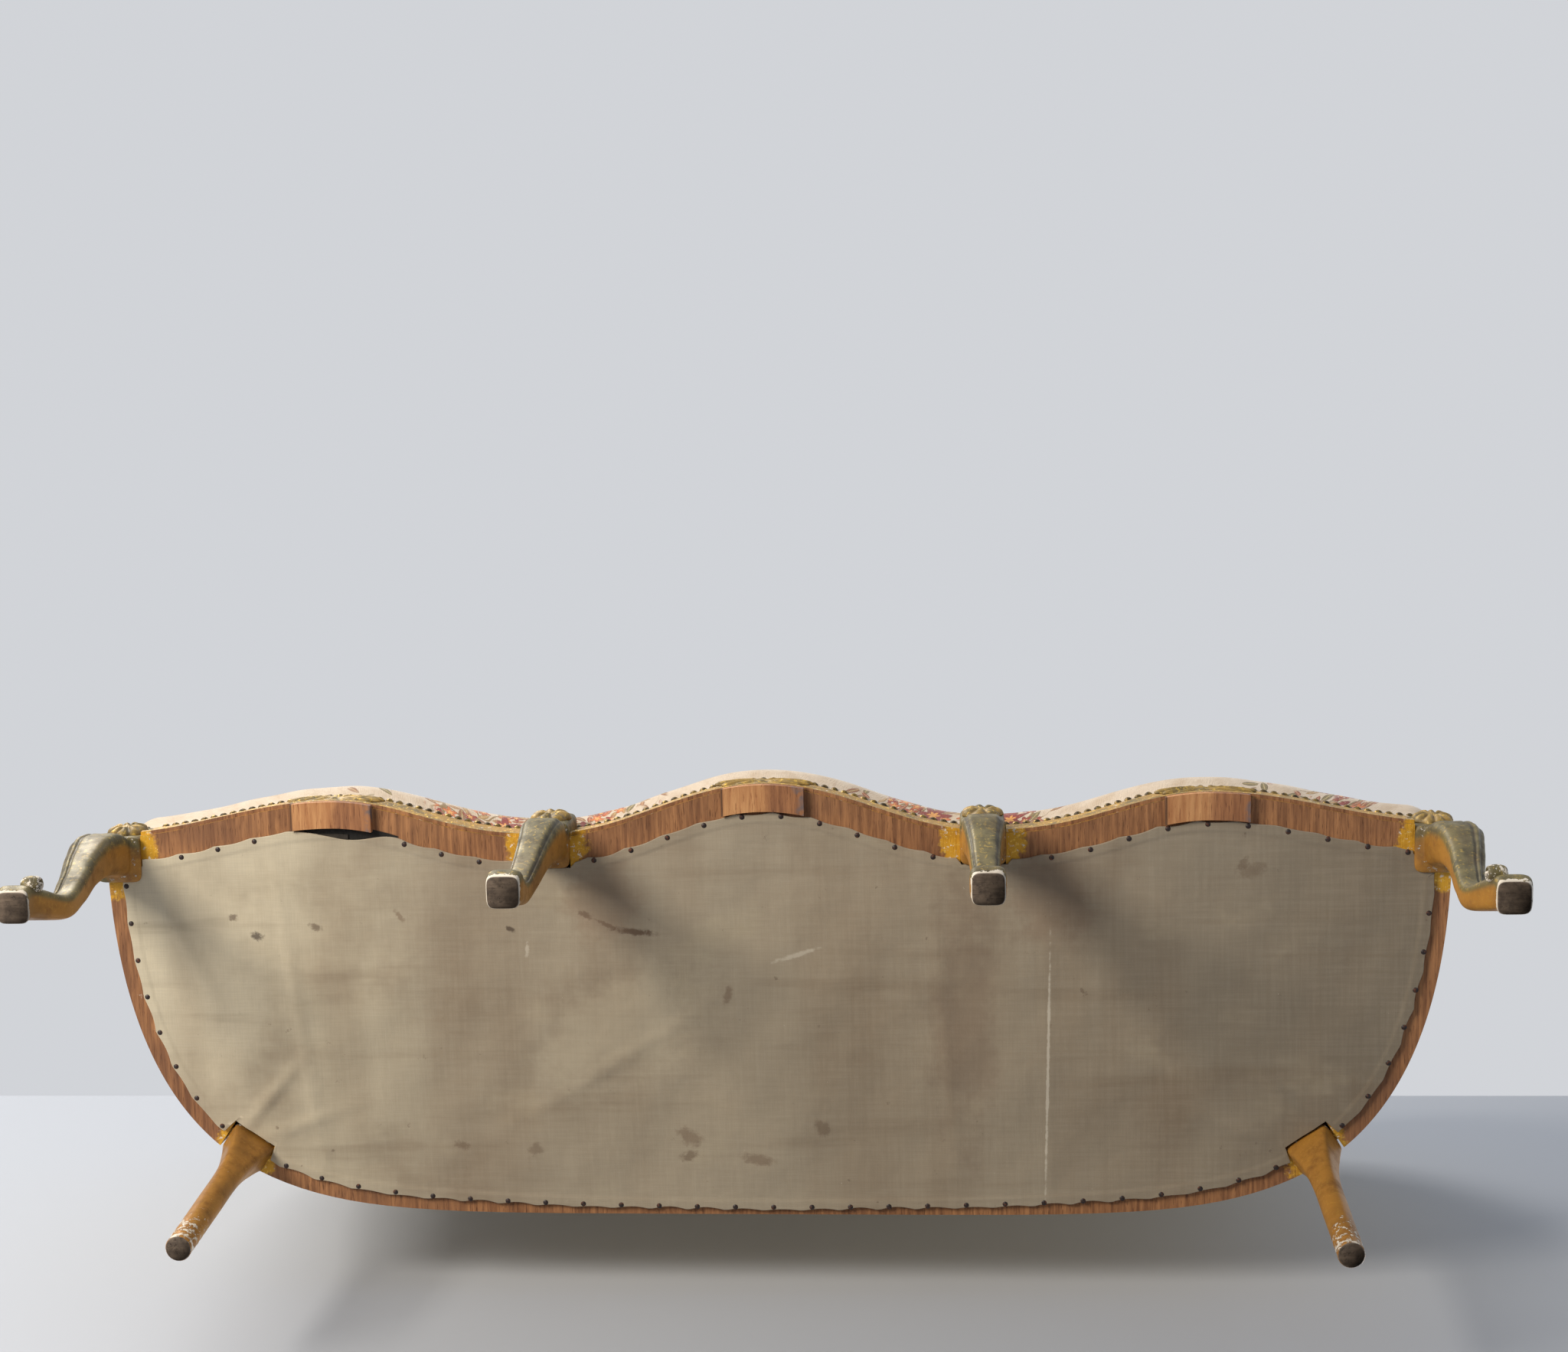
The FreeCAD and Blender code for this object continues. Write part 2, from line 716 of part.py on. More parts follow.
posts = {}
for side, hand in ((-1.0, "left"), (1.0, "right")):
    s = side * s_inner
    nx, ny = basket_normal(s)
    turn = math.atan2(ny, nx) - math.pi / 2
    ends = []
    for z in (rail_top, crest_middle_z(s)):
        p = shell_point(s, -(frame_outer_inset + frame_inner_inset) / 2, z)
        ends.append(level_section(p.x, p.y, z, upright_length, frame_thickness, 5.0, turn))
    upright = Part.makeLoft(ends, True, True)
    for piece in ("crest_rail_%s" % hand, "crest_rail_middle"):
        upright = upright.cut(crest[piece])
    tenon, mortise = post_tenon(s, upright_length, rail_top, True)
    nodes["rear_rail"] = nodes["rear_rail"].cut(mortise)
    posts["back_upright_%s" % hand] = largest(upright).fuse(tenon).removeSplitter()

    s = side * s_arm
    nx, ny = basket_normal(s)
    turn = math.atan2(ny, nx) - math.pi / 2
    wires = []
    arm_top = crest_middle_z(s)
    for t, shift, size in ((0.0, 0.0, 1.0), (0.25, 0.5, 0.86), (0.5, 0.9, 0.78), (0.75, 0.7, 0.82),
                           (1.0, 0.0, 1.0)):
        z = rail_top + (arm_top - rail_top) * t
        p = shell_point(s - side * arm_post_sweep * shift,
                        -(frame_outer_inset + frame_inner_inset) / 2, z)
        wires.append(level_section(p.x, p.y, z, arm_post_length * size, frame_thickness * size, 8.0,
                                   turn))
    post = largest(Part.makeLoft(wires, True, False).cut(crest["arm_rail_%s" % hand]))
    tenon, mortise = post_tenon(s, arm_post_length, rail_top, True)
    nodes["side_rail_%s" % hand] = nodes["side_rail_%s" % hand].cut(mortise)
    posts["arm_post_%s" % hand] = post.fuse(tenon).removeSplitter()
    leg = "rear_leg_%s" % hand
    for piece in ("crest_rail_%s" % hand, "arm_rail_%s" % hand):
        rear_legs[leg] = rear_legs[leg].cut(crest[piece])
    rear_legs[leg] = largest(rear_legs[leg])

for name, solid in list(crest.items()) + list(rear_legs.items()):
    put(name, solid)
put("crest_dowels", *dowels)

# Lower rails of the back and arms, between the stiles and the posts

lower_top = lower_rail_bottom + lower_rail_height
for name, s0, s1, near in (
        ("back_lower_rail_left", -s_rear_leg, -s_inner, ("rear_leg_left", "back_upright_left")),
        ("back_lower_rail_middle", -s_inner, s_inner, ("back_upright_left", "back_upright_right")),
        ("back_lower_rail_right", s_inner, s_rear_leg, ("back_upright_right", "rear_leg_right")),
        ("arm_lower_rail_left", -s_arm, -s_rear_leg, ("arm_post_left", "rear_leg_left")),
        ("arm_lower_rail_right", s_rear_leg, s_arm, ("rear_leg_right", "arm_post_right"))):
    rail = shell_slab(s0, s1, frame_outer_inset + 0.5, frame_inner_inset - 0.5,
                      lambda s: lower_rail_bottom, lambda s: lower_top, 7)
    for post in near:
        rail = rail.cut(posts[post] if post in posts else nodes[post])
    put(name, largest(rail))
for name, solid in posts.items():
    put(name, solid)

# Ornament carved on the middle of the crest

ornament = []
for t in (-1.0, -0.66, -0.33, 0.0, 0.33, 0.66, 1.0):
    s = t * ornament_half_length
    swell = 0.25 + 0.75 * raised_cosine(abs(t))
    z = crest_middle_z(s) + crest_half(s) - 0.5 * crest_corner
    half = 0.5 * ornament_height * swell
    ornament.append(rounded_wire(
        lambda u, v: shell_point(s, u - crest_inset, z + half + v),
        (crest_width - 2 * crest_corner) + ornament_projection * swell, 2 * half, 4.0))
put("crest_ornament", largest(Part.makeLoft(ornament, True, False).cut(nodes["crest_rail_middle"])))

# Seat upholstery

hessian_bottom = rail_top + soft_clearance
pad_bottom = hessian_bottom + hessian_thickness + soft_clearance
back_keep_out = shell_slab(-s_arm - arm_post_length, s_arm + arm_post_length, -60.0,
                           frame_inner_inset + soft_clearance, lambda s: rail_top - 20.0,
                           lambda s: rail_top + 200.0, 25)
hessian = Part.Face(outline_wire(rebate_depth + 6.0, hessian_bottom)).extrude(
    vec(0, 0, hessian_thickness))
put("seat_hessian", largest(hessian.cut(back_keep_out)))

pad_levels = [(0.0, rebate_depth), (0.4 * seat_pad_edge, -0.7 * seat_pad_bulge)]
for degrees in range(0, 91, 15):
    angle = math.radians(degrees)
    pad_levels.append((seat_pad_edge + (seat_pad_height - seat_pad_edge) * math.sin(angle),
                       seat_pad_roll * (1.0 - math.cos(angle)) - seat_pad_bulge))
pad = Part.makeLoft([outline_wire(inset, pad_bottom + rise) for rise, inset in pad_levels],
                    True, False)
put("seat_pad", largest(pad.cut(back_keep_out)))

border_inset = rebate_depth - soft_clearance
border_outer = border_inset - border_thickness
border = Part.Face(outline_wire(border_outer, rebate_bottom + soft_clearance)).cut(
    Part.Face(outline_wire(border_inset, rebate_bottom + soft_clearance))).extrude(
        vec(0, 0, rebate_height - 2 * soft_clearance))
border_keep = Part.makeBox(2 * seat_half_width + 100.0, 600.0, 2 * rebate_height,
                           vec(-seat_half_width - 50.0, arm_post_y - 600.0, rebate_bottom))
put("seat_border", largest(border.common(border_keep)))


def dome(diameter, height, place, way):
    """Domed head whose flat back lies at place, standing out along way."""
    radius = (diameter ** 2 / 4 + height ** 2) / (2 * height)
    rise = radius - height
    latitude = math.degrees(math.asin(rise / radius))
    return Part.makeSphere(radius, place - way * rise, way, latitude, 90.0, 360.0)


def walk(wire, pitch):
    """Evenly spaced points along a wire, with their outward directions in plan."""
    count = int(wire.Length / pitch)
    points = wire.discretize(Number=count + 1)
    for before, here, after in zip(points, points[1:], points[2:]):
        way = vec(after.y - before.y, before.x - after.x)
        way.normalize()
        yield here, way


nail_z = rebate_bottom + rebate_height / 2
nails = []
for place, way in walk(outline_wire(border_outer, nail_z), nail_pitch):
    if place.y < arm_post_y - nail_diameter:
        nails.append(dome(nail_diameter, nail_height, place + way * nail_clearance, way))
put("seat_nails", *nails)

# Webbing, springs and the dust cover under the seat

web_top = rail_bottom - soft_clearance
web_low = web_top - webbing_thickness
cross_top = web_low - soft_clearance
cross_low = cross_top - webbing_thickness
web_reach = rail_thickness - 10.0
frame_floor = Part.Face(outline_wire(web_reach, web_low)).extrude(vec(0, 0, webbing_thickness))
frame_floor_cross = frame_floor.translated(vec(0, 0, cross_low - web_low))
leg_void = []
for x, y, *rest in leg_places.values():
    leg_void.append(turned_box(x, y, 0.0, leg_block + 6.0, leg_block + 6.0, rail_top, 0.0))
for side, top, turn in rear_frames.values():
    leg_void.append(turned_box(top.x, top.y, 0.0, rear_block_length + 6.0, rear_block_inset + 8.0,
                               rail_top, turn))
webs = []
count = int(seat_half_width / webbing_pitch) * 2 + 1
for i in range(count):
    x = (i - (count - 1) / 2) * webbing_pitch
    strip = Part.makeBox(webbing_width, 900.0, webbing_thickness,
                         vec(x - webbing_width / 2, middle_bow_y, web_low)).common(frame_floor)
    for void in leg_void:
        strip = strip.cut(void)
    if strip.Solids:
        webs.append(largest(strip))
rows = int((basket_depth - 2 * rail_thickness) / webbing_pitch)
for i in range(rows):
    y = corner_leg_y + half_block + webbing_pitch * (i + 0.5)
    strip = Part.makeBox(2 * seat_half_width, webbing_width, webbing_thickness,
                         vec(-seat_half_width, y - webbing_width / 2, cross_low))
    strip = strip.common(frame_floor_cross)
    for void in leg_void:
        strip = strip.cut(void)
    if strip.Solids:
        webs.append(largest(strip))
put("seat_webbing", *webs)

spring_height = rail_height - 2 * spring_wire - 2 * soft_clearance


def spring_shape():
    """Hourglass sleeve of one coil spring, narrow at its waist."""
    half = spring_height / 2
    outer, waist, wall = spring_diameter / 2, spring_waist / 2, spring_wire
    profile = Part.Wire([
        Part.Arc(vec(outer, 0, 0), vec(waist, 0, half), vec(outer, 0, 2 * half)).toShape(),
        line(vec(outer, 0, 2 * half), vec(outer - wall, 0, 2 * half)),
        Part.Arc(vec(outer - wall, 0, 2 * half), vec(waist - wall, 0, half),
                 vec(outer - wall, 0, 0)).toShape(),
        line(vec(outer - wall, 0, 0), vec(outer, 0, 0))])
    return Part.Face(profile).revolve(vec(0, 0, 0), vec(0, 0, 1), 360.0)


spring = spring_shape()
spring_ground = Part.Face(outline_wire(rail_thickness + spring_diameter / 2 + 4.0, rail_bottom))
cross_gap = (spring_diameter + cross_rail_width) / 2 + 3.0
brace_clear = brace_reach + spring_diameter / 2
springs = []
for row in range(5):
    y = (row - 2) * spring_pitch_y - 30.0
    for column in range(-9, 10):
        x = column * spring_pitch_x / 2
        if (row + column) % 2 or not spring_ground.isInside(vec(x, y, rail_bottom), 1.0, True):
            continue
        if abs(abs(x) - inner_leg_x) < cross_gap:
            continue
        if all(math.hypot(x - brace.CenterOfMass.x, y - brace.CenterOfMass.y) > brace_clear
               for brace in braces):
            springs.append(spring.translated(vec(x, y, rail_bottom)))
put("seat_springs", *springs)

dust_top = cross_low - soft_clearance
dust_low = dust_top - dust_cover_thickness


def dust_outline(further):
    """Edge of the dust cover, moved inwards by further: near the rear rail's edge behind."""
    def back_inset(s):
        share = raised_cosine(abs(s) / s_rear_leg)
        side = dust_cover_side_inset
        return side + (dust_cover_rear_inset - side) * share + further
    return outline_wire(dust_cover_inset + further, dust_low, back_inset)


dust = Part.Face(dust_outline(0.0)).extrude(vec(0, 0, dust_cover_thickness))
for void in leg_void:
    dust = dust.cut(void)
put("dust_cover", largest(dust))

tacks = []
for place, way in walk(dust_outline(tack_inset), tack_pitch):
    if not any(void.isInside(place, 6.0, True) for void in leg_void):
        tacks.append(dome(tack_diameter, tack_height, place, vec(0, 0, -1)))
put("dust_cover_tacks", *tacks)

# Upholstery of the back and arms

web_inset = frame_inner_inset + soft_clearance
pad_inset = web_inset + webbing_thickness + soft_clearance
pad_rest = pad_bottom + seat_pad_height + soft_clearance


def under_crest(s):
    return crest_underside(s) - 2 * soft_clearance


def back_strip(s):
    """Upright webbing strip from the lower rail to the crest, centred at s."""
    return shell_slab(s - webbing_width / 2, s + webbing_width / 2, web_inset,
                      web_inset + webbing_thickness, lambda s: lower_rail_bottom + 3.0,
                      under_crest, 3)


count = int(2 * (s_rear_leg - stile_length) / back_webbing_pitch)
put("back_webbing", *[back_strip((i - (count - 1) / 2) * back_webbing_pitch)
                      for i in range(count)])
arm_span = s_arm - s_rear_leg - (arm_post_length + stile_length) / 2
count = int(arm_span / back_webbing_pitch)
middle = s_rear_leg + (stile_length + arm_span) / 2
put("arm_webbing", *[back_strip(side * (middle + (i - (count - 1) / 2) * back_webbing_pitch))
                     for side in (-1.0, 1.0) for i in range(count)])

put("back_pad", shell_pad(-s_rear_leg + 2.0, s_rear_leg - 2.0, pad_inset, back_pad_edge,
                          back_pad_crown, lambda s: pad_rest, under_crest, 15))
cover_inset = frame_outer_inset - soft_clearance - cover_thickness
put("outside_back", shell_slab(-s_rear_leg + 1.0, s_rear_leg - 1.0, cover_inset,
                               cover_inset + cover_thickness, lambda s: rail_top + soft_clearance,
                               under_crest, 15))
for side, hand in ((-1.0, "left"), (1.0, "right")):
    near, far = s_rear_leg + 2.0, s_arm - arm_post_length / 2 + 8.0
    s0, s1 = min(side * near, side * far), max(side * near, side * far)
    put("arm_inner_pad_%s" % hand, shell_pad(s0, s1, pad_inset, back_pad_edge, arm_pad_crown,
                                             lambda s: pad_rest, under_crest, 9))
    put("outside_arm_%s" % hand, shell_slab(s0, s1, cover_inset, cover_inset + cover_thickness,
                                            lambda s: rail_top + soft_clearance, under_crest, 9))
    wires = []
    for t in stations(0.0, 1.0, 7):
        s = side * (s_arm_end - 26.0 - armrest_pad_length * t)
        swell = math.sqrt(math.sin(math.pi * (0.04 + 0.92 * t)))
        base = crest_middle_z(s) + crest_half(s) - 3.0
        half = 0.5 * armrest_pad_width * (0.55 + 0.45 * swell)
        skirt = 0.3 * armrest_pad_height * swell
        a = shell_point(s, -crest_inset - half, base)
        b = shell_point(s, -crest_inset - half - 1.0, base + skirt)
        c = shell_point(s, -crest_inset, base + armrest_pad_height * swell)
        d = shell_point(s, -crest_inset + half + 1.0, base + skirt)
        e = shell_point(s, -crest_inset + half, base)
        wires.append(Part.Wire([line(a, b), Part.Arc(b, c, d).toShape(), line(d, e), line(e, a)]))
    arm_keep_out = crest["arm_rail_%s" % hand].translated(vec(0, 0, soft_clearance))
    put("armrest_pad_%s" % hand, largest(Part.makeLoft(wires, True, False).cut(arm_keep_out)))

os.makedirs("parts", exist_ok=True)
for name, shape in nodes.items():
    shape.exportStep("parts/%s.step" % name)
low = min(shape.BoundBox.YMin for shape in nodes.values())
high = max(shape.BoundBox.YMax for shape in nodes.values())
print(len(nodes), "nodes", "Y from", round(low, 1), "to", round(high, 1))
for name, shape in nodes.items():
    print(name, len(shape.Solids), "solids", shape.isValid(), round(shape.Volume / 1000.0, 1), "cm3")
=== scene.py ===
"""Giltwood cabriole sofa lying on its back, as the photograph shows it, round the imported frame.

Sizes are in metres, with +Z up, the front towards -Y and the floor under the feet at z = 0.
"""
import math
import bpy
import numpy as np
from mathutils import Matrix


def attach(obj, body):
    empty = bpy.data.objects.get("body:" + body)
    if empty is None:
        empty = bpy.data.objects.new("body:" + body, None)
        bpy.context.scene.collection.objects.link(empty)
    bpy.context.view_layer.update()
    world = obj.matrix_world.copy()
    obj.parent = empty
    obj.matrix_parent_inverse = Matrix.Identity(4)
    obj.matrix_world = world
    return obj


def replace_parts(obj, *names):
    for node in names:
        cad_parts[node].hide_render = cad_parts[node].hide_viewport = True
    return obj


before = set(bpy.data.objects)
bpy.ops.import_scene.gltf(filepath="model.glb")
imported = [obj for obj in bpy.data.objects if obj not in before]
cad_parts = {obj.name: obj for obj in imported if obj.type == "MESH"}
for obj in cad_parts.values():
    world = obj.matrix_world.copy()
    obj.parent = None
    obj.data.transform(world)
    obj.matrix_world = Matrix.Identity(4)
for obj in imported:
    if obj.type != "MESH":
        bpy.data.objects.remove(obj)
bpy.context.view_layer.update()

# Camera and stage. The camera looks up at the sofa's underside, as it does where the sofa lies on
# its back. The floor, and the ground that the lying sofa would rest on, show from one side only.

camera_data = bpy.data.cameras.new("camera")
camera_data.sensor_width = 36.0
camera_data.lens = 36.0 * 2756.0 / 2048.0
camera_data.clip_end = 60.0
camera = bpy.data.objects.new("camera", camera_data)
bpy.context.scene.collection.objects.link(camera)
camera_right = (0.9972, 0.0233, 0.0711)
camera_up = (0.0145, -0.9926, 0.1208)
camera_forward = (-0.0734, 0.1194, 0.9901)
camera_place = (0.237, -0.822, -2.46)
camera_axes = [camera_right, camera_up, tuple(-c for c in camera_forward)]
turn = Matrix([[axis[row] for axis in camera_axes] for row in range(3)])
camera.matrix_world = Matrix.Translation(camera_place) @ turn.to_4x4()
bpy.context.scene.camera = camera
bpy.context.scene.view_settings.view_transform = "Standard"


class Value:
    """An output socket with arithmetic: each sign adds one maths node to the socket's tree."""

    def __init__(self, socket):
        self.socket = socket

    def __add__(self, other):
        return maths("ADD", self, other)

    def __sub__(self, other):
        return maths("SUBTRACT", self, other)

    def __rsub__(self, other):
        return maths("SUBTRACT", other, self)

    def __mul__(self, other):
        return maths("MULTIPLY", self, other)

    def __truediv__(self, other):
        return maths("DIVIDE", self, other)

    def __abs__(self):
        return maths("ABSOLUTE", self)

    __radd__ = __add__
    __rmul__ = __mul__


class Outputs:
    """The outputs of a node, each taken as a Value by its name or number."""

    def __init__(self, sockets):
        self.sockets = sockets

    def __getitem__(self, key):
        return Value(self.sockets[key])


def feed(socket, value):
    """Link a Value to an input socket, or set the socket to a constant."""
    if isinstance(value, Value):
        socket.id_data.links.new(value.socket, socket)
    elif socket.type == "RGBA" and len(value) == 3:
        socket.default_value = (*value, 1.0)
    else:
        socket.default_value = value


def tree_of(*values):
    """The node tree that holds the first Value among the values."""
    return next(value.socket.id_data for value in values if isinstance(value, Value))


def node(tree, kind, inputs=(), **settings):
    """Add a shader node, feed its inputs, and return its outputs."""
    made = tree.nodes.new("ShaderNode" + kind)
    for key, value in settings.items():
        setattr(made, key, value)
    for key, value in dict(inputs).items():
        feed(made.inputs[key], value)
    return Outputs(made.outputs)


def maths(operation, *values):
    """One number worked out from one, two or three others."""
    return node(tree_of(*values), "Math", enumerate(values), operation=operation)[0]


stage_colour = (0.44, 0.46, 0.50, 1.0)
stage_material = bpy.data.materials.new("pale_stage")
stage_material.use_nodes = True
tree = stage_material.node_tree
tree.nodes.clear()
hidden = maths("MAXIMUM", node(tree, "NewGeometry")["Backfacing"],
               node(tree, "LightPath")["Is Shadow Ray"])
solid = node(tree, "BsdfDiffuse", {"Color": stage_colour})[0]
clear = node(tree, "BsdfTransparent")[0]
node(tree, "OutputMaterial", {0: node(tree, "MixShader", {0: hidden, 1: solid, 2: clear})[0]})


def stage_plane(name, corners):
    """One flat quad of the stage, seen from the side that its corners turn round."""
    mesh = bpy.data.meshes.new(name)
    mesh.from_pydata(corners, [], [(0, 1, 2, 3)])
    mesh.materials.append(stage_material)
    plane = bpy.data.objects.new(name, mesh)
    bpy.context.scene.collection.objects.link(plane)
    return plane


ground_y = 0.372
far = 14.0
stage_plane("floor", [(-far, -far, 0.0), (far, -far, 0.0), (far, far, 0.0), (-far, far, 0.0)])
stage_plane("lying_ground", [(-far, ground_y, -far), (far, ground_y, -far), (far, ground_y, 1.18),
                             (-far, ground_y, 1.18)])

world = bpy.data.worlds.new("studio")
bpy.context.scene.world = world
world.use_nodes = True
tree = world.node_tree
tree.nodes.clear()
light_path = node(tree, "LightPath")
seen = maths("MAXIMUM", light_path["Is Camera Ray"], maths(
    "MAXIMUM", light_path["Is Glossy Ray"], light_path["Is Transmission Ray"]))
backdrop = node(tree, "Background", {"Color": (0.80, 0.82, 0.86, 1.0), "Strength": 0.80})[0]
ambient = node(tree, "Background", {"Color": (0.86, 0.92, 1.0, 1.0), "Strength": 0.62})[0]
node(tree, "OutputWorld", {0: node(tree, "MixShader", {0: seen, 1: ambient, 2: backdrop})[0]})


def soft_lamp(name, place, aim, size, power, colour):
    """A square soft box at place, turned towards aim."""
    data = bpy.data.lights.new(name, "AREA")
    data.size = size
    data.energy = power
    data.color = colour
    lamp = bpy.data.objects.new(name, data)
    way = np.array(aim) - np.array(place)
    way = way / np.linalg.norm(way)
    side = np.cross(way, (0.0, 0.0, 1.0))
    side = side / np.linalg.norm(side)
    up = np.cross(side, way)
    lamp.matrix_world = Matrix([[side[i], up[i], -way[i], place[i]] for i in range(3)]
                               + [[0.0, 0.0, 0.0, 1.0]])
    bpy.context.scene.collection.objects.link(lamp)


soft_lamp("key_below", (-3.0, -2.6, -2.2), (0.0, 0.0, 0.3), 1.6, 210.0, (1.0, 0.93, 0.82))
soft_lamp("key_above", (-2.6, -3.4, 3.2), (0.0, 0.0, 0.5), 2.4, 170.0, (1.0, 0.96, 0.90))
soft_lamp("fill_behind", (3.2, 3.0, 2.6), (0.0, 0.0, 0.5), 2.6, 110.0, (0.92, 0.96, 1.0))

# Seat rails. Three front rails run in bows between the legs, and two side rails and the rear rail
# follow the round basket behind. Their undersides are bare planed hardwood, and the show faces
# are gilded. The gold paint runs over on to the underside beside each leg.

rail_bottom = 0.300
rail_top = 0.375
bow_side_x, bow_side_y = 0.585, -0.323
half_width = 0.9015
basket_y, basket_depth = -0.287, 0.537
basket_side_power, basket_rear_power = 6.0, 2.39
inner_leg = (0.2915, -0.267)
corner_leg = (0.883, -0.252)
rear_leg_x = 0.738
rear_leg_inset = 0.021
slot_x = -0.573

# Basket line, from the rear centre to the side: (x / half width) to the power 6 plus (distance
# behind its start / depth) to the power 2.39 makes 1.
grid = np.linspace(0.0, 0.75 * half_width, 400)
bent = 1.0 - (grid / half_width) ** basket_side_power
rear_part = np.stack([grid, basket_y + basket_depth * bent ** (1.0 / basket_rear_power)], -1)
grid = np.linspace(rear_part[-1, 1], basket_y, 400)[1:]
bent = 1.0 - (np.maximum(grid - basket_y, 0.0) / basket_depth) ** basket_rear_power
side_part = np.stack([half_width * bent ** (1.0 / basket_side_power), grid], -1)
basket_points = np.concatenate([rear_part, side_part])
steps = np.linalg.norm(np.diff(basket_points, axis=0), axis=1)
basket_lengths = np.concatenate([[0.0], np.cumsum(steps)])


def basket_xy(s):
    """Plan point at length s along the basket from the rear centre, negative on the left."""
    x = np.interp(np.abs(s), basket_lengths, basket_points[:, 0])
    y = np.interp(np.abs(s), basket_lengths, basket_points[:, 1])
    return np.stack([np.where(s < 0.0, -x, x), y], -1)


def basket_normal(s):
    """Outward unit normals of the basket at s."""
    way = basket_xy(s + 0.004) - basket_xy(s - 0.004)
    way = way / np.linalg.norm(way, axis=-1, keepdims=True)
    return np.stack([-way[..., 1], way[..., 0]], -1)


def basket_point(s, outward):
    """Plan points moved out from the basket line by outward."""
    return basket_xy(s) + basket_normal(s) * np.asarray(outward)[..., None]


def length_at_x(x):
    """Length along the basket at which it is x from the middle."""
    return float(np.interp(x, basket_points[:, 0], basket_lengths))


def rear_leg_place(side):
    """Plan centre of a rear leg's block, and the basket's outward normal there."""
    s = side * s_rear_leg
    return basket_point(s, -rear_leg_inset), basket_normal(s)


s_rear_leg = length_at_x(rear_leg_x)


def srgb(red, green, blue):
    """Linear colour from 0..255 display values."""
    parts = np.array([red, green, blue]) / 255.0
    return tuple(float(c) for c in np.where(parts <= 0.04045, parts / 12.92,
                                            ((parts + 0.055) / 1.055) ** 2.4))


def mix(share, first, second, blend="MIX"):
    """Mix two colours by a share of the second."""
    return node(tree_of(share, first, second), "Mix", {0: share, 6: first, 7: second},
                data_type="RGBA", blend_type=blend)[2]


def remap(value, low, high, start=0.0, end=1.0):
    """Stretch a value from low..high to start..end with soft ends."""
    return node(tree_of(value), "MapRange", {0: value, 1: low, 2: high, 3: start, 4: end},
                interpolation_type="SMOOTHSTEP")[0]


def noise(place, scale, detail=3.0, rough=0.5, stretch=None):
    """Soft noise from 0 to 1 at a place, stretched along an axis if asked."""
    tree = tree_of(place)
    if stretch is not None:
        place = node(tree, "Mapping", {0: place, 3: stretch})[0]
    return node(tree, "TexNoise", {"Vector": place, "Scale": scale, "Detail": detail,
                                   "Roughness": rough})[0]


def axes(vector):
    """The X, Y and Z parts of a vector."""
    parts = node(tree_of(vector), "SeparateXYZ", {0: vector})
    return parts[0], parts[1], parts[2]


def new_group(name, inputs, outputs):
    """Start a shader node group, and return it, its inputs as Values and its output sockets."""
    group = bpy.data.node_groups.new(name, "ShaderNodeTree")
    for way, sockets in (("INPUT", inputs), ("OUTPUT", outputs)):
        for socket, kind in sockets.items():
            group.interface.new_socket(name=socket, in_out=way, socket_type="NodeSocket" + kind)
    given = Outputs(group.nodes.new("NodeGroupInput").outputs)
    return group, given, group.nodes.new("NodeGroupOutput").inputs


def give_back(made, **values):
    """Feed a group's outputs."""
    for key, value in values.items():
        feed(made[key], value)


def use_group(group, **inputs):
    """Place a node group in the tree of its inputs, and return its outputs."""
    made = tree_of(*inputs.values()).nodes.new("ShaderNodeGroup")
    made.node_tree = group
    for key, value in inputs.items():
        feed(made.inputs[key], value)
    return Outputs(made.outputs)


def new_material(name, **constants):
    """A material, its Principled shader with its constants set, and the object coordinates."""
    material = bpy.data.materials.new(name)
    material.use_nodes = True
    shader = material.node_tree.nodes["Principled BSDF"]
    for key, value in constants.items():
        shader.inputs[key.replace("_", " ")].default_value = value
    return material, shader, node(material.node_tree, "TexCoord")["Object"]


def finish(shader, colour, rough=None, height=None, depth=0.001, metal=None):
    """Link a material's colour, roughness, metal and height to its shader."""
    for socket, value in (("Base Color", colour), ("Roughness", rough), ("Metallic", metal)):
        if value is not None:
            feed(shader.inputs[socket], value)
    if height is not None:
        feed(shader.inputs["Normal"], node(shader.id_data, "Bump", {
            "Height": height, "Distance": depth, "Strength": 1.0})[0])


def dress(material, *names):
    """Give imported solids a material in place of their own."""
    for name in names:
        mesh = bpy.data.objects[name].data
        mesh.materials.clear()
        mesh.materials.append(material)


# Grain of a plank: streaks along X from stretched noise, with darker pores and planer marks.
wood_grain, given, made = new_group(
    "wood_grain", {"Place": "Vector", "Light": "Color", "Dark": "Color"},
    {"Colour": "Color", "Height": "Float"})
streaks = noise(given["Place"], 60.0, 4.0, 0.6, (0.25, 3.0, 3.0))
cloud = noise(given["Place"], 7.0, 3.0, 0.6)
pores = remap(noise(given["Place"], 420.0, 2.0, 0.5, (0.12, 1.0, 1.0)), 0.58, 0.72)
body = mix(remap(streaks * 0.75 + cloud * 0.35, 0.35, 0.75), given["Dark"], given["Light"])
give_back(made, Colour=mix(pores * 0.45, body, given["Dark"], "MULTIPLY"),
          Height=streaks - pores * 0.6)

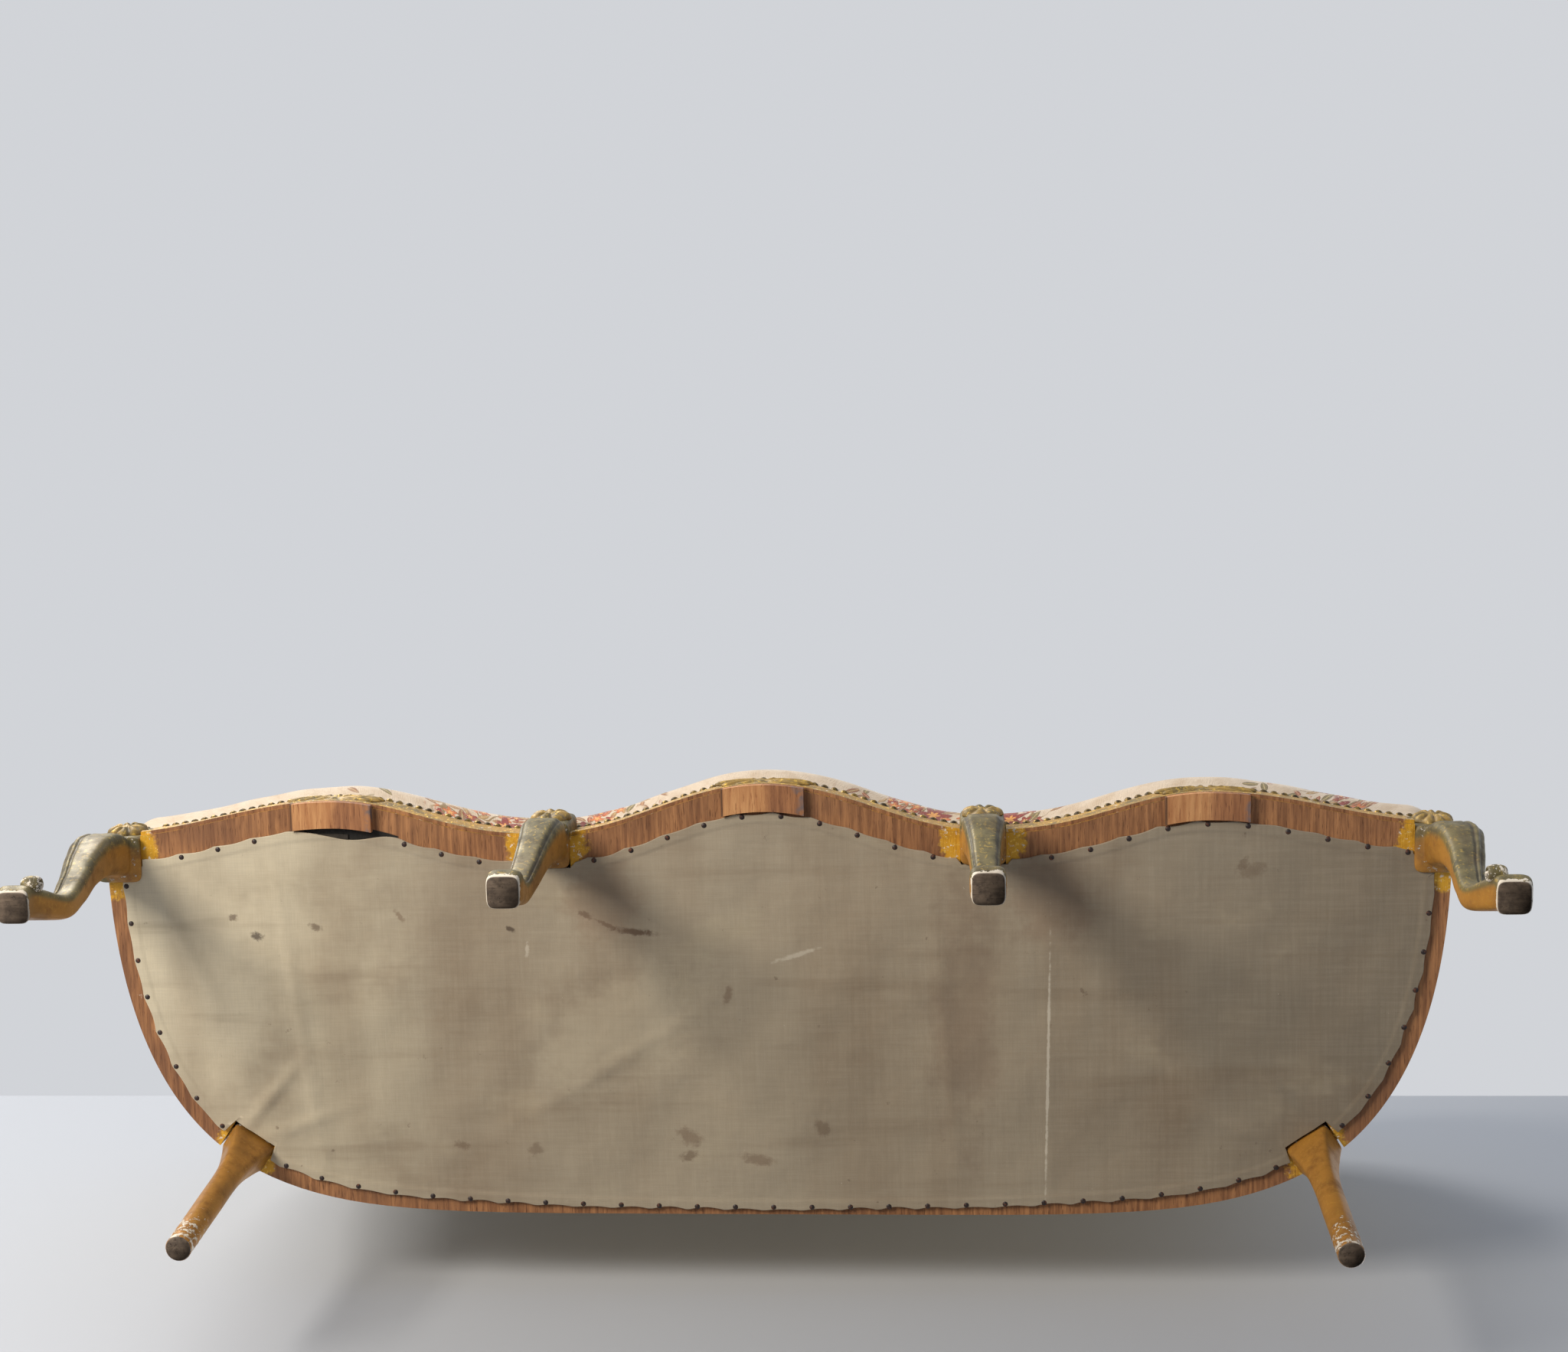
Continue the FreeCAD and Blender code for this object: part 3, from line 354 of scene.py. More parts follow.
# Gilding: ochre size paint and worn gold, with dark patina and chips down to the white gesso.
gilding, given, made = new_group(
    "gilding", {"Place": "Vector", "Gold": "Color", "Patina": "Color", "Dirt": "Float",
                "Chips": "Float", "Glint": "Float"},
    {"Colour": "Color", "Roughness": "Float", "Metal": "Float", "Height": "Float"})
brushed = noise(given["Place"], 34.0, 5.0, 0.65)
speckle = noise(given["Place"], 190.0, 3.0, 0.6)
dirt = remap(brushed + (given["Dirt"] - 0.5) * 0.6, 0.36, 0.74)
leaf = remap(speckle, 0.54, 0.68) * given["Glint"]
shining = mix(leaf, mix(dirt, given["Gold"], given["Patina"]), srgb(246, 204, 96))
bare = remap(noise(given["Place"], 130.0, 5.0, 0.7) + given["Chips"], 0.98, 1.02)
give_back(made, Colour=mix(bare, shining, srgb(226, 216, 200)),
          Metal=(0.15 + leaf * 0.6) * (1.0 - bare),
          Roughness=0.42 + maths("MAXIMUM", dirt, bare) * 0.28, Height=brushed * 0.5 - bare)


def distance_to(place, points):
    """Least plan distance from the surface to any of some upright lines."""
    x, y, _ = axes(place)
    gaps = []
    for line_x, line_y in points:
        dx, dy = abs(x) - line_x, y - line_y
        gaps.append(maths("SQRT", dx * dx + dy * dy))
    return gaps[0] if len(gaps) == 1 else maths("MINIMUM", *gaps)


def turned(place):
    """Object coordinates turned by a right angle, for grain that runs from front to back."""
    return node(tree_of(place), "Mapping", {0: place, 2: (0.0, 0.0, math.pi / 2)})[0]


def rail_material():
    """Bare hardwood below and inside, gilded outside, with gold paint beside the legs."""
    material, shader, place = new_material("gilt_and_bare_rail", IOR=1.45)
    wood = use_group(wood_grain, Place=turned(place), Light=srgb(176, 124, 80),
                     Dark=srgb(120, 78, 48))
    across = noise(place, 230.0, 2.0, 0.5, (1.0, 0.02, 1.0))
    lengthwise = noise(place, 6.0, 3.0, 0.6)
    planed = mix(remap(across, 0.45, 0.68, 0.0, 0.40), wood["Colour"], srgb(96, 60, 38))
    planed = mix(remap(lengthwise, 0.45, 0.70, 0.0, 0.55), planed, srgb(118, 80, 56))
    gilt = use_group(gilding, Place=place, Gold=srgb(178, 136, 62), Patina=srgb(96, 88, 58),
                     Dirt=0.44, Chips=0.36, Glint=1.0)
    bright = use_group(gilding, Place=place, Gold=srgb(214, 160, 44), Patina=srgb(150, 96, 30),
                       Dirt=0.35, Chips=0.40, Glint=1.0)
    x, y, _ = axes(place)
    normal_x, normal_y, normal_z = axes(node(shader.id_data, "TexCoord")["Normal"])
    shown = remap(abs(normal_z), 0.75, 0.65) * remap(x * normal_x + y * normal_y, -0.01, 0.01)
    reach = maths("MINIMUM", distance_to(place, [inner_leg, corner_leg]),
                  distance_to(place, [rear_top]) + 0.012)
    splash = remap(reach + (noise(place, 60.0, 4.0, 0.7) - 0.5) * 0.05, 0.060, 0.050)
    grime = remap(noise(place, 14.0, 4.0, 0.6), 0.5, 0.8, 0.0, 0.35)
    below = mix(grime, planed, srgb(86, 58, 42))
    chalk = remap(noise(place, 38.0, 4.0, 0.65), 0.66, 0.74, 0.0, 0.6)
    below = mix(chalk * remap(x, -0.80, -0.84), below, srgb(226, 206, 186))
    # Painted shade: the underside is painted near black along the slot at the left bow, where the
    # cover's edge is pulled in from the rail.
    from_bow = x + bow_side_x
    past_edge = y - (from_bow * from_bow * 1.9 + (bow_side_y + 0.029))
    painted_slot_shade = remap(past_edge, -0.0008, 0.0008) * remap(past_edge, 0.060, 0.055)
    painted_slot_shade = painted_slot_shade * remap(abs(x - slot_x), 0.080, 0.076)
    below = mix(painted_slot_shade, below, (0.004, 0.003, 0.002))
    below = mix(splash, below, bright["Colour"])
    metal = shown * gilt["Metal"] + (1.0 - shown) * (splash * bright["Metal"])
    rough = 0.72 - maths("MAXIMUM", shown, splash) * 0.28
    finish(shader, mix(shown, below, gilt["Colour"]), rough, wood["Height"] + across, 0.0006,
           metal)
    return material


rear_top = tuple(float(c) for c in rear_leg_place(1.0)[0])
dress(rail_material(), "front_rail_left", "front_rail_middle", "front_rail_right",
      "side_rail_left", "side_rail_right", "rear_rail")

# Dropped blocks under the bows. A short block of fresher wood is glued under the middle of each
# front bow, flush with the rail's lower moulding. Its left part is painted lighter as painted
# light, and its ends darker as painted shade.


def apron_material():
    """Fresher orange wood with painted light on its left part and painted shade at both ends."""
    material, shader, place = new_material("apron_wood", IOR=1.45)
    lit_wood = use_group(wood_grain, Place=turned(place), Light=srgb(206, 152, 100),
                      Dark=srgb(168, 112, 68))
    shaded_wood = use_group(wood_grain, Place=turned(place), Light=srgb(172, 118, 76),
                        Dark=srgb(128, 82, 52))
    x = axes(place)[0]
    along = x - maths("ROUND", x / bow_side_x) * bow_side_x
    ragged = along + (noise(place, 40.0) - 0.5) * 0.03
    # Painted light on the block's left part, and painted shade in a greyer, darker right-hand end.
    colour = mix(remap(ragged, -0.004, 0.014), lit_wood["Colour"], shaded_wood["Colour"])
    end_shade = remap(ragged, 0.040, 0.052) * remap(noise(place, 90.0), 0.40, 0.62, 0.0, 0.8)
    colour = mix(end_shade, colour, srgb(96, 92, 96))
    # Painted shadow: a dark strip along the block's left end.
    colour = mix(remap(along, -0.0515, -0.0535) * 0.8, colour, srgb(58, 36, 26))
    finish(shader, colour, 0.5 + noise(place, 30.0) * 0.3, lit_wood["Height"], 0.0005)
    return material


dress(apron_material(), "apron_block_left", "apron_block_middle", "apron_block_right")

# Front legs. Four carved cabriole legs, each cut from one post with the square block that the
# rails are tenoned into. They are gessoed and gilded, and white gesso shows where gold is chipped.


def smooth_through(keys, values, at):
    """Cubic curve through key values, with each slope taken from its neighbours."""
    keys, values = np.asarray(keys, float), np.asarray(values, float)
    slopes = np.gradient(values, keys)
    i = np.clip(np.searchsorted(keys, at) - 1, 0, len(keys) - 2)
    span = keys[i + 1] - keys[i]
    t = (at - keys[i]) / span
    return (values[i] * (1 + 2 * t) * (1 - t) ** 2 + slopes[i] * span * t * (1 - t) ** 2
            + values[i + 1] * t * t * (3 - 2 * t) + slopes[i + 1] * span * t * t * (t - 1))


def smoothstep(value, low, high):
    """0 up to low and 1 from high on, with soft ends: 3 t squared minus 2 t cubed between."""
    t = np.clip((value - low) / (high - low), 0.0, 1.0)
    return t * t * (3.0 - 2.0 * t)


def bump(value, middle, width):
    """1 at the middle, falling to 1/e at a width on each side of it."""
    return np.exp(-((value - middle) / width) ** 2)


def circle(count):
    """Evenly spaced angles once round."""
    return np.linspace(0.0, 2 * np.pi, count, endpoint=False)


def squared(wave, power):
    """A sine or cosine raised to a power below 1, which turns a round row into a squarer one."""
    return np.sign(wave) * np.abs(wave) ** power


def grid_faces(rows, columns, closed=True):
    """Quads of a rows by columns grid of points, joined round each row if it is closed."""
    row, column = np.meshgrid(np.arange(rows - 1), np.arange(columns if closed else columns - 1),
                              indexing="ij")
    following = (column + 1) % columns
    a, b = row * columns + column, row * columns + following
    return np.stack([a, b, b + columns, a + columns], -1).reshape(-1, 4)


def tube_faces(points, flip=False):
    """Faces of rows of points joined into a tube with flat caps, turned inside out if asked."""
    rows, columns = points.shape[:2]
    caps = [list(range(columns))[::-1], list(range((rows - 1) * columns, rows * columns))]
    faces = grid_faces(rows, columns).tolist() + caps
    return [face[::-1] for face in faces] if flip else faces


def new_piece(name, points, faces, material, slot, **carried):
    """Make a smooth mesh object on the root body, whose points carry the given values."""
    mesh = bpy.data.meshes.new(name)
    mesh.from_pydata(points.reshape(-1, 3).tolist(), [], [list(map(int, f)) for f in faces])
    mesh.update()
    for key, value in carried.items():
        value = np.broadcast_to(value, points.shape[:-1]).astype(np.float32)
        mesh.attributes.new(key, "FLOAT", "POINT").data.foreach_set("value", value.ravel())
    mesh.polygons.foreach_set("use_smooth", np.ones(len(mesh.polygons), bool))
    mesh.materials.append(material)
    piece = bpy.data.objects.new(name, mesh)
    bpy.context.scene.collection.objects.link(piece)
    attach(piece, "root")
    return piece


def attribute(shader, name, kind="Fac"):
    """A value that the mesh's points carry."""
    return node(shader.id_data, "Attribute", attribute_name=name)[kind]


def leg_material():
    """Ochre paint on the inner faces, olive gold on the carved ones, bare wood under the foot."""
    material, shader, place = new_material("gilt_leg", IOR=1.45, Coat_Weight=0.10,
                                           Coat_Roughness=0.35)
    front, chips, hollow = (attribute(shader, name) for name in ("front", "chips", "hollow"))
    gilt = use_group(
        gilding, Place=place, Gold=mix(front, srgb(172, 120, 48), srgb(120, 108, 66)),
        Patina=mix(front, srgb(128, 84, 34), srgb(78, 72, 50)), Glint=0.12 + front * 0.14,
        Dirt=0.40 + front * 0.16, Chips=0.27 + chips * 0.36)
    worn = use_group(wood_grain, Place=place, Light=srgb(124, 110, 98), Dark=srgb(98, 86, 77))
    wood = mix(remap(noise(place, 90.0, 4.0, 0.7), 0.40, 0.66, 0.0, 0.75), worn["Colour"],
               srgb(78, 68, 62))
    bottom = remap(axes(place)[2], 0.0016, 0.0008)
    colour = mix(hollow * 0.75, gilt["Colour"], srgb(30, 24, 16))
    colour = mix(bottom, colour, wood)
    smoke = remap(noise(place, 11.0, 4.0, 0.6), 0.45, 0.75, 0.0, 0.5)
    colour = mix(smoke * (1.0 - bottom), colour, srgb(84, 58, 30))
    finish(shader, colour, gilt["Roughness"] + bottom * 0.3, gilt["Height"], 0.0007,
           gilt["Metal"] * (1.0 - bottom))
    return material


gilt_leg = leg_material()

# Profile of a front leg: heights, and the reach of its front, back and side faces at each.
leg_heights = np.array([0, 14, 42, 81, 135, 204, 255, 282, 287, 290, 300, 360.5]) / 1000.0
leg_front = np.array([20, 25, 15, -1, 9, 30, 41, 36, 32, 31, 30, 30]) / 1000.0
leg_back = np.array([20, 19, 25, 33, 28, 17, 16, 21, 23, 30, 30, 30]) / 1000.0
leg_sides = np.array([20, 22, 19, 16, 18, 22, 27, 28, 28, 30, 30, 30]) / 1000.0
foot_splay = 0.018
half_block = 0.030
leg_angle = circle(112)
rim_height, rim_inset = 0.0022, 0.0014
leg_rows = np.concatenate([[0.0, 0.0010, rim_height], np.linspace(0.006, 0.28, 88),
                           np.linspace(0.2835, 0.2925, 10), np.linspace(0.30, 0.3605, 6)])
rim = np.clip((rim_height - leg_rows) / rim_height, 0.0, 1.0) * rim_inset


def flutes(across, places, width):
    """Sum of narrow hollows at the given places across a face, from 0 to 1."""
    return np.clip(sum(bump(across, place, width) for place in places), 0.0, 1.0)


def front_leg(name, x, y, side):
    """Cabriole leg: rounded square rows whose front swells at the knee and draws in at the ankle.

    side is 0 for the legs that face forward, and -1 or 1 for those that face out of a corner.
    """
    front, back, across = (smooth_through(leg_heights, reach, leg_rows) - rim
                           for reach in (leg_front, leg_back, leg_sides))
    low_x, high_x = {0: (-across, across), 1: (-back, front), -1: (-front, back)}[side]
    centre_x, half_x = (low_x + high_x) / 2, (high_x - low_x) / 2
    centre_y, half_y = (back - front) / 2, (front + back) / 2
    power = np.interp(leg_rows, [0.0, 0.02, 0.08, 0.2, 0.285, 0.29],
                      [0.42, 0.46, 0.5, 0.5, 0.42, 0.3])[:, None]
    u = squared(np.cos(leg_angle), power)
    v = squared(np.sin(leg_angle), power)
    carved = (smoothstep(leg_rows, 0.055, 0.10) * smoothstep(leg_rows, 0.30, 0.262))[:, None]
    lines = [-0.1, 0.42, 0.80] if side else [-0.82, 0.82]
    groove_y = flutes(u * (side or 1), lines, 0.10) * smoothstep(-v, 0.55, 0.95)
    groove_x = flutes(-v, lines, 0.10) * smoothstep(side * u, 0.55, 0.95)
    depth = 0.0026 * carved
    x_points = x + (centre_x + foot_splay * side * (1 - leg_rows / rail_bottom).clip(0))[:, None]
    x_points = x_points + half_x[:, None] * u - side * depth * groove_x
    y_points = y + centre_y[:, None] + half_y[:, None] * v + depth * groove_y
    points = np.stack(np.broadcast_arrays(x_points, y_points, leg_rows[:, None]), -1)
    shown = np.maximum(smoothstep(-v, 0.2, 0.6), smoothstep(side * u, 0.2, 0.6))
    worn = np.maximum(smoothstep(leg_rows, 0.010, 0.002), bump(leg_rows, 0.288, 0.003) * 0.4)
    return new_piece(name, points, tube_faces(points), gilt_leg, "giltwood", front=shown,
                     chips=worn[:, None], hollow=np.maximum(groove_x, groove_y) * carved)


for name, x, y, side in (("front_leg_left_corner", -corner_leg[0], corner_leg[1], -1),
                         ("front_leg_left_inner", -inner_leg[0], inner_leg[1], 0),
                         ("front_leg_right_inner", inner_leg[0], inner_leg[1], 0),
                         ("front_leg_right_corner", corner_leg[0], corner_leg[1], 1)):
    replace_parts(front_leg("carved_" + name, x, y, side), name)


def toe_scroll(name, side):
    """Tapered round band wound inwards by a spiral, on the front of a corner foot."""
    t = np.linspace(0.0, 1.0, 70)[:, None]
    wind = 2 * np.pi * 1.4 * t + 1.2
    around = circle(14)[None]
    reach = 0.0085 * (1 - t) ** 0.8 + 0.0015 + (0.0042 - 0.0015 * t) * np.cos(around)
    x = side * (corner_leg[0] + 0.005 + (0.0105 + 0.003 * t) * np.sin(around))
    y = corner_leg[1] - 0.0215 + reach * np.cos(wind)
    z = 0.031 + reach * np.sin(wind)
    points = np.stack([x, y, z], -1)
    new_piece(name, points, tube_faces(points, side > 0), gilt_leg, "giltwood", front=1.0,
              chips=0.4 + 0.5 * t, hollow=0.6 * np.clip(-np.cos(around), 0.0, 1.0))


hands = (("left", -1.0), ("right", 1.0))
for hand, side in hands:
    toe_scroll("toe_scroll_" + hand, side)

# Rear legs. Each is one turned and squared post: a round raked leg that flares into the block
# between the rails, and above it the square stile of the back, which the upholstery hides.

rake_slope = 0.1235


def shell_point(s, outward, z):
    """Point of the raked back: the basket line moved out as it rises, then out by outward."""
    plan = basket_point(s, outward + rake_slope * (z - rail_bottom))
    return np.concatenate([plan, np.broadcast_to(z, plan.shape[:-1])[..., None]], -1)


def length_at_y(y):
    """Length along the basket at which it has come forward to y."""
    return float(np.interp(-y, -basket_points[:, 1], basket_lengths))


s_arm = length_at_y(-0.165)


def raised_cosine(t):
    """1 at 0, falling smoothly to 0 at 1."""
    return 0.5 * (1.0 + np.cos(np.pi * np.clip(t, 0.0, 1.0)))


def crest_middle_z(s):
    """Height of the crest's centre line: a hump, shoulders at the rear legs, then the arms."""
    s = np.abs(s)
    shoulder, top, arm = 0.884, 0.959, 0.629
    run = 0.8 * (s_arm - s_rear_leg)
    return np.where(s <= s_rear_leg, shoulder + (top - shoulder) * raised_cosine(s / s_rear_leg),
                    arm + (shoulder - arm) * raised_cosine((s - s_rear_leg) / run))


def rear_leg(name, side):
    """Round rows up to the flare, square rows for the block, and smaller square rows above."""
    s = side * s_rear_leg
    top, normal = rear_leg_place(side)
    along = np.array([normal[1], -normal[0]])
    foot = top + (-side * 0.008, 0.024)
    heights = np.concatenate([
        [0.0, 0.001, rim_height], np.linspace(0.006, 0.165, 34), np.linspace(0.169, 0.300, 40),
        [0.3015, 0.374, 0.375], np.linspace(0.376, float(crest_middle_z(s)), 10)])[:, None]
    flare_start, block_half_u, block_half_v = 0.165, 0.032, 0.023
    flare = np.clip((heights - flare_start) / 0.135, 0.0, 1.0) ** 2.6
    worn = 0.0006 * np.sin(heights * 400.0) * smoothstep(heights, 0.10, 0.02)
    round_half = np.interp(heights, [0.0, 0.12], [0.016, 0.017]) + worn
    round_half = round_half - np.clip(rim_height - heights, 0.0, 1.0) * 0.6
    is_stile = heights > 0.3755
    centre = np.where(is_stile, shell_point(s, -0.024, heights[:, 0])[:, :2],
                      foot + (top - foot) * np.clip(heights / rail_bottom, 0.0, 1.0))
    half_u = np.where(is_stile, 0.026, round_half + (block_half_u - round_half) * flare)
    half_v = np.where(is_stile, 0.018, round_half + (block_half_v - round_half) * flare)
    power = 1.0 - 0.72 * np.clip((heights - flare_start) / 0.10, 0.0, 1.0)
    u = squared(np.cos(leg_angle), power) * half_u
    v = squared(np.sin(leg_angle), power) * half_v
    plan = centre[:, None] + u[..., None] * along + v[..., None] * normal
    points = np.concatenate([plan, np.broadcast_to(heights[..., None], (*u.shape, 1))], -1)
    chips = smoothstep(heights, 0.115, 0.01) * (0.45 + 0.30 * np.sin(heights * 210.0) ** 2)
    chips = np.maximum(chips, 0.5 * bump(heights, 0.30, 0.004))
    return new_piece(name, points, tube_faces(points), gilt_leg, "giltwood", front=0.0,
                     chips=chips, hollow=0.0)


for hand, side in hands:
    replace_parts(rear_leg("raked_rear_leg_" + hand, side), "rear_leg_" + hand)

# Dust cover. One piece of plain linen under the seat, its edges folded under and tacked to the
# rails every 50 mm or so, cut round the legs. It is dusty, stained and slack between the tacks.

dust_z = 0.2951
edge_inset = 0.032
spine_reach = 0.60
ring_count = 60
bow_middle_y, valley_y, corner_y = -0.340, -0.275, -0.280
bow_side_power = 1.4
front_count, corner_count, back_count = 300, 10, 420


def front_edge_y(x):
    """The front rails' outer edge: raised cosines from the valleys to the three bows."""
    x = np.abs(x)
    middle = valley_y + (bow_middle_y - valley_y) * raised_cosine(x / inner_leg[0])
    rise = raised_cosine((bow_side_x - x) / (bow_side_x - inner_leg[0])) ** bow_side_power
    side = valley_y + (bow_side_y - valley_y) * rise
    end = corner_y + (bow_side_y - corner_y) * raised_cosine((x - bow_side_x)
                                                             / (half_width - bow_side_x))
    return np.where(x <= inner_leg[0], middle, np.where(x <= bow_side_x, side, end))


def front_point(x, inset):
    """Plan points of the front edge at x, moved in along the edge's normal by inset."""
    slope = (front_edge_y(x + 0.0005) - front_edge_y(x - 0.0005)) / 0.001
    scale = inset / np.hypot(slope, 1.0)
    return np.stack([x - slope * scale, front_edge_y(x) + scale], -1)


def corner_radius(inset):
    """Radius of the seat's front corners, 46 mm outside and never less than 14 mm within."""
    return max(0.046 - inset, 0.014)


def seat_outline(inset, back_inset=None):
    """Closed plan outline of the seat at an inset: front edge, arc, basket, arc."""
    radius = corner_radius(inset)
    corner_x = half_width - inset - radius
    front = front_point(np.linspace(-corner_x, corner_x, front_count), inset)
    side = length_at_y(front[-1, 1] + radius)
    s = np.linspace(side, -side, back_count)
    back = basket_point(s, -(np.full(back_count, inset) if back_inset is None else back_inset(s)))
    angle = np.linspace(0.0, np.pi / 2, corner_count + 2)[1:-1, None]
    right = np.concatenate([
        front[-1, 0] + (back[0, 0] - front[-1, 0]) * np.sin(angle),
        back[0, 1] + (front[-1, 1] - back[0, 1]) * np.cos(angle)], axis=1)
    left = right[::-1] * (-1.0, 1.0)
    return np.concatenate([front, right, back, left])


def slack(x, y, edge):
    """Drop of the cloth: a shallow sag inwards from the edge, with soft folds and creases."""
    sag = 0.0030 * smoothstep(edge, 0.0, 0.16)
    folds = 0.0012 * np.sin(17.0 * x + 9.0 * y + 1.4 * np.sin(5.0 * x))
    folds += 0.0009 * np.sin(31.0 * (x * 0.35 - y) + 2.0 * np.sin(7.0 * x + 1.0))
    folds += 0.0005 * np.sin(58.0 * (x * 0.9 + 0.45 * y) + 2.4 * np.sin(9.0 * y))
    creases = 0.0
    for cx, cy, turn_angle, length, height in (
            (-0.690, 0.085, -0.85, 0.055, 0.0046), (-0.640, 0.120, -0.35, 0.060, 0.0026),
            (0.690, 0.090, -2.30, 0.055, 0.0030), (0.630, 0.130, -2.75, 0.060, 0.0022),
            (-0.20, 0.03, -0.55, 0.14, 0.0016), (-0.64, -0.02, 1.45, 0.22, 0.0024),
            (-0.80, -0.14, 1.10, 0.08, 0.0030), (0.375, 0.04, 1.57, 0.34, 0.0008),
            (0.24, 0.02, 1.50, 0.20, 0.0012)):
        dx, dy = x - cx, y - cy
        u = dx * math.cos(turn_angle) + dy * math.sin(turn_angle)
        v = dy * math.cos(turn_angle) - dx * math.sin(turn_angle)
        creases = creases + height * np.exp(-(u / length) ** 2 - (v / 0.010) ** 2)
    return (sag + folds) * smoothstep(edge, 0.004, 0.07) + creases * smoothstep(edge, 0.0, 0.02)


def notch_legs(points):
    """Move edge points out of the leg blocks, to the nearer inner face of each block."""
    x, y = points[:, 0].copy(), points[:, 1].copy()
    room = half_block + 0.003
    for leg_x, leg_y in ((side * leg[0], leg[1]) for leg in (inner_leg, corner_leg)
                         for _, side in hands):
        inside = (np.abs(x - leg_x) < room) & (y < leg_y + room)
        back = leg_y + room
        corner = abs(leg_x) > 0.5
        edge_x = leg_x - np.sign(leg_x) * room
        sideways = inside & corner & (np.abs(x - edge_x) < np.abs(back - y))
        x = np.where(sideways, edge_x, x)
        y = np.where(inside & ~sideways, back, y)
    for _, side in hands:
        top, normal = rear_leg_place(side)
        u = (x - top[0]) * normal[1] - (y - top[1]) * normal[0]
        v = (x - top[0]) * normal[0] + (y - top[1]) * normal[1]
        shift = np.where((np.abs(u) < 0.035) & (v > -0.026), -0.026 - v, 0.0)
        x, y = x + shift * normal[0], y + shift * normal[1]
    return np.stack([x, y], -1)


def cover_outline(further):
    """Edge of the cover: 32 mm inside the front rails, and 21 mm to 7 mm inside the basket."""
    def back_inset(s):
        return 0.021 - 0.014 * raised_cosine(np.abs(s) / s_rear_leg) + further
    return seat_outline(edge_inset + further, back_inset=back_inset)


# Rings of the cover shrink from its edge to a spine along the middle. The edge is scalloped by
# the sine of its length between tacks, and a raised cosine draws it in where tacks are missing.
outline = cover_outline(0.0)
lengths = np.concatenate([[0.0], np.cumsum(np.linalg.norm(np.diff(outline, axis=0), axis=1))])
scallop = 0.0032 * np.abs(np.sin(np.pi * lengths / 0.052)) * (
    0.6 + 0.8 * (0.5 + 0.5 * np.sin(lengths * 23.0)))
drift = cover_outline(0.01) - outline
drift = drift / np.linalg.norm(drift, axis=1, keepdims=True)
slot = 0.0178 * raised_cosine(np.abs(outline[:, 0] - slot_x) / 0.080) * (outline[:, 1] < -0.2)
cover_edge = notch_legs(outline + drift * (scallop * (slot < 1e-6) + slot)[:, None])
spine = np.stack([np.clip(outline[:, 0] * 0.78, -spine_reach, spine_reach),
                  np.full(len(outline), -0.03)], -1)
share = np.linspace(0.0, 1.0, ring_count)[:, None, None] ** 1.5
plan = outline[None] + (spine - outline)[None] * share
plan = plan + (cover_edge - outline)[None] * (1.0 - share) ** 3
edge_gap = np.stack([np.linalg.norm(ring[:, None] - outline[None], axis=-1).min(axis=1)
                     for ring in plan])
hem = 0.0009 * smoothstep(edge_gap, 0.016, 0.013)
level = dust_z + 0.0004 - hem - slack(plan[..., 0], plan[..., 1], edge_gap)
under = np.concatenate([plan, level[..., None]], -1)
lip = np.concatenate([cover_edge, np.full((len(cover_edge), 1), rail_bottom - 0.0004)], -1)
points = np.concatenate([lip[None], under])
faces = grid_faces(ring_count + 1, len(cover_edge))[:, ::-1]


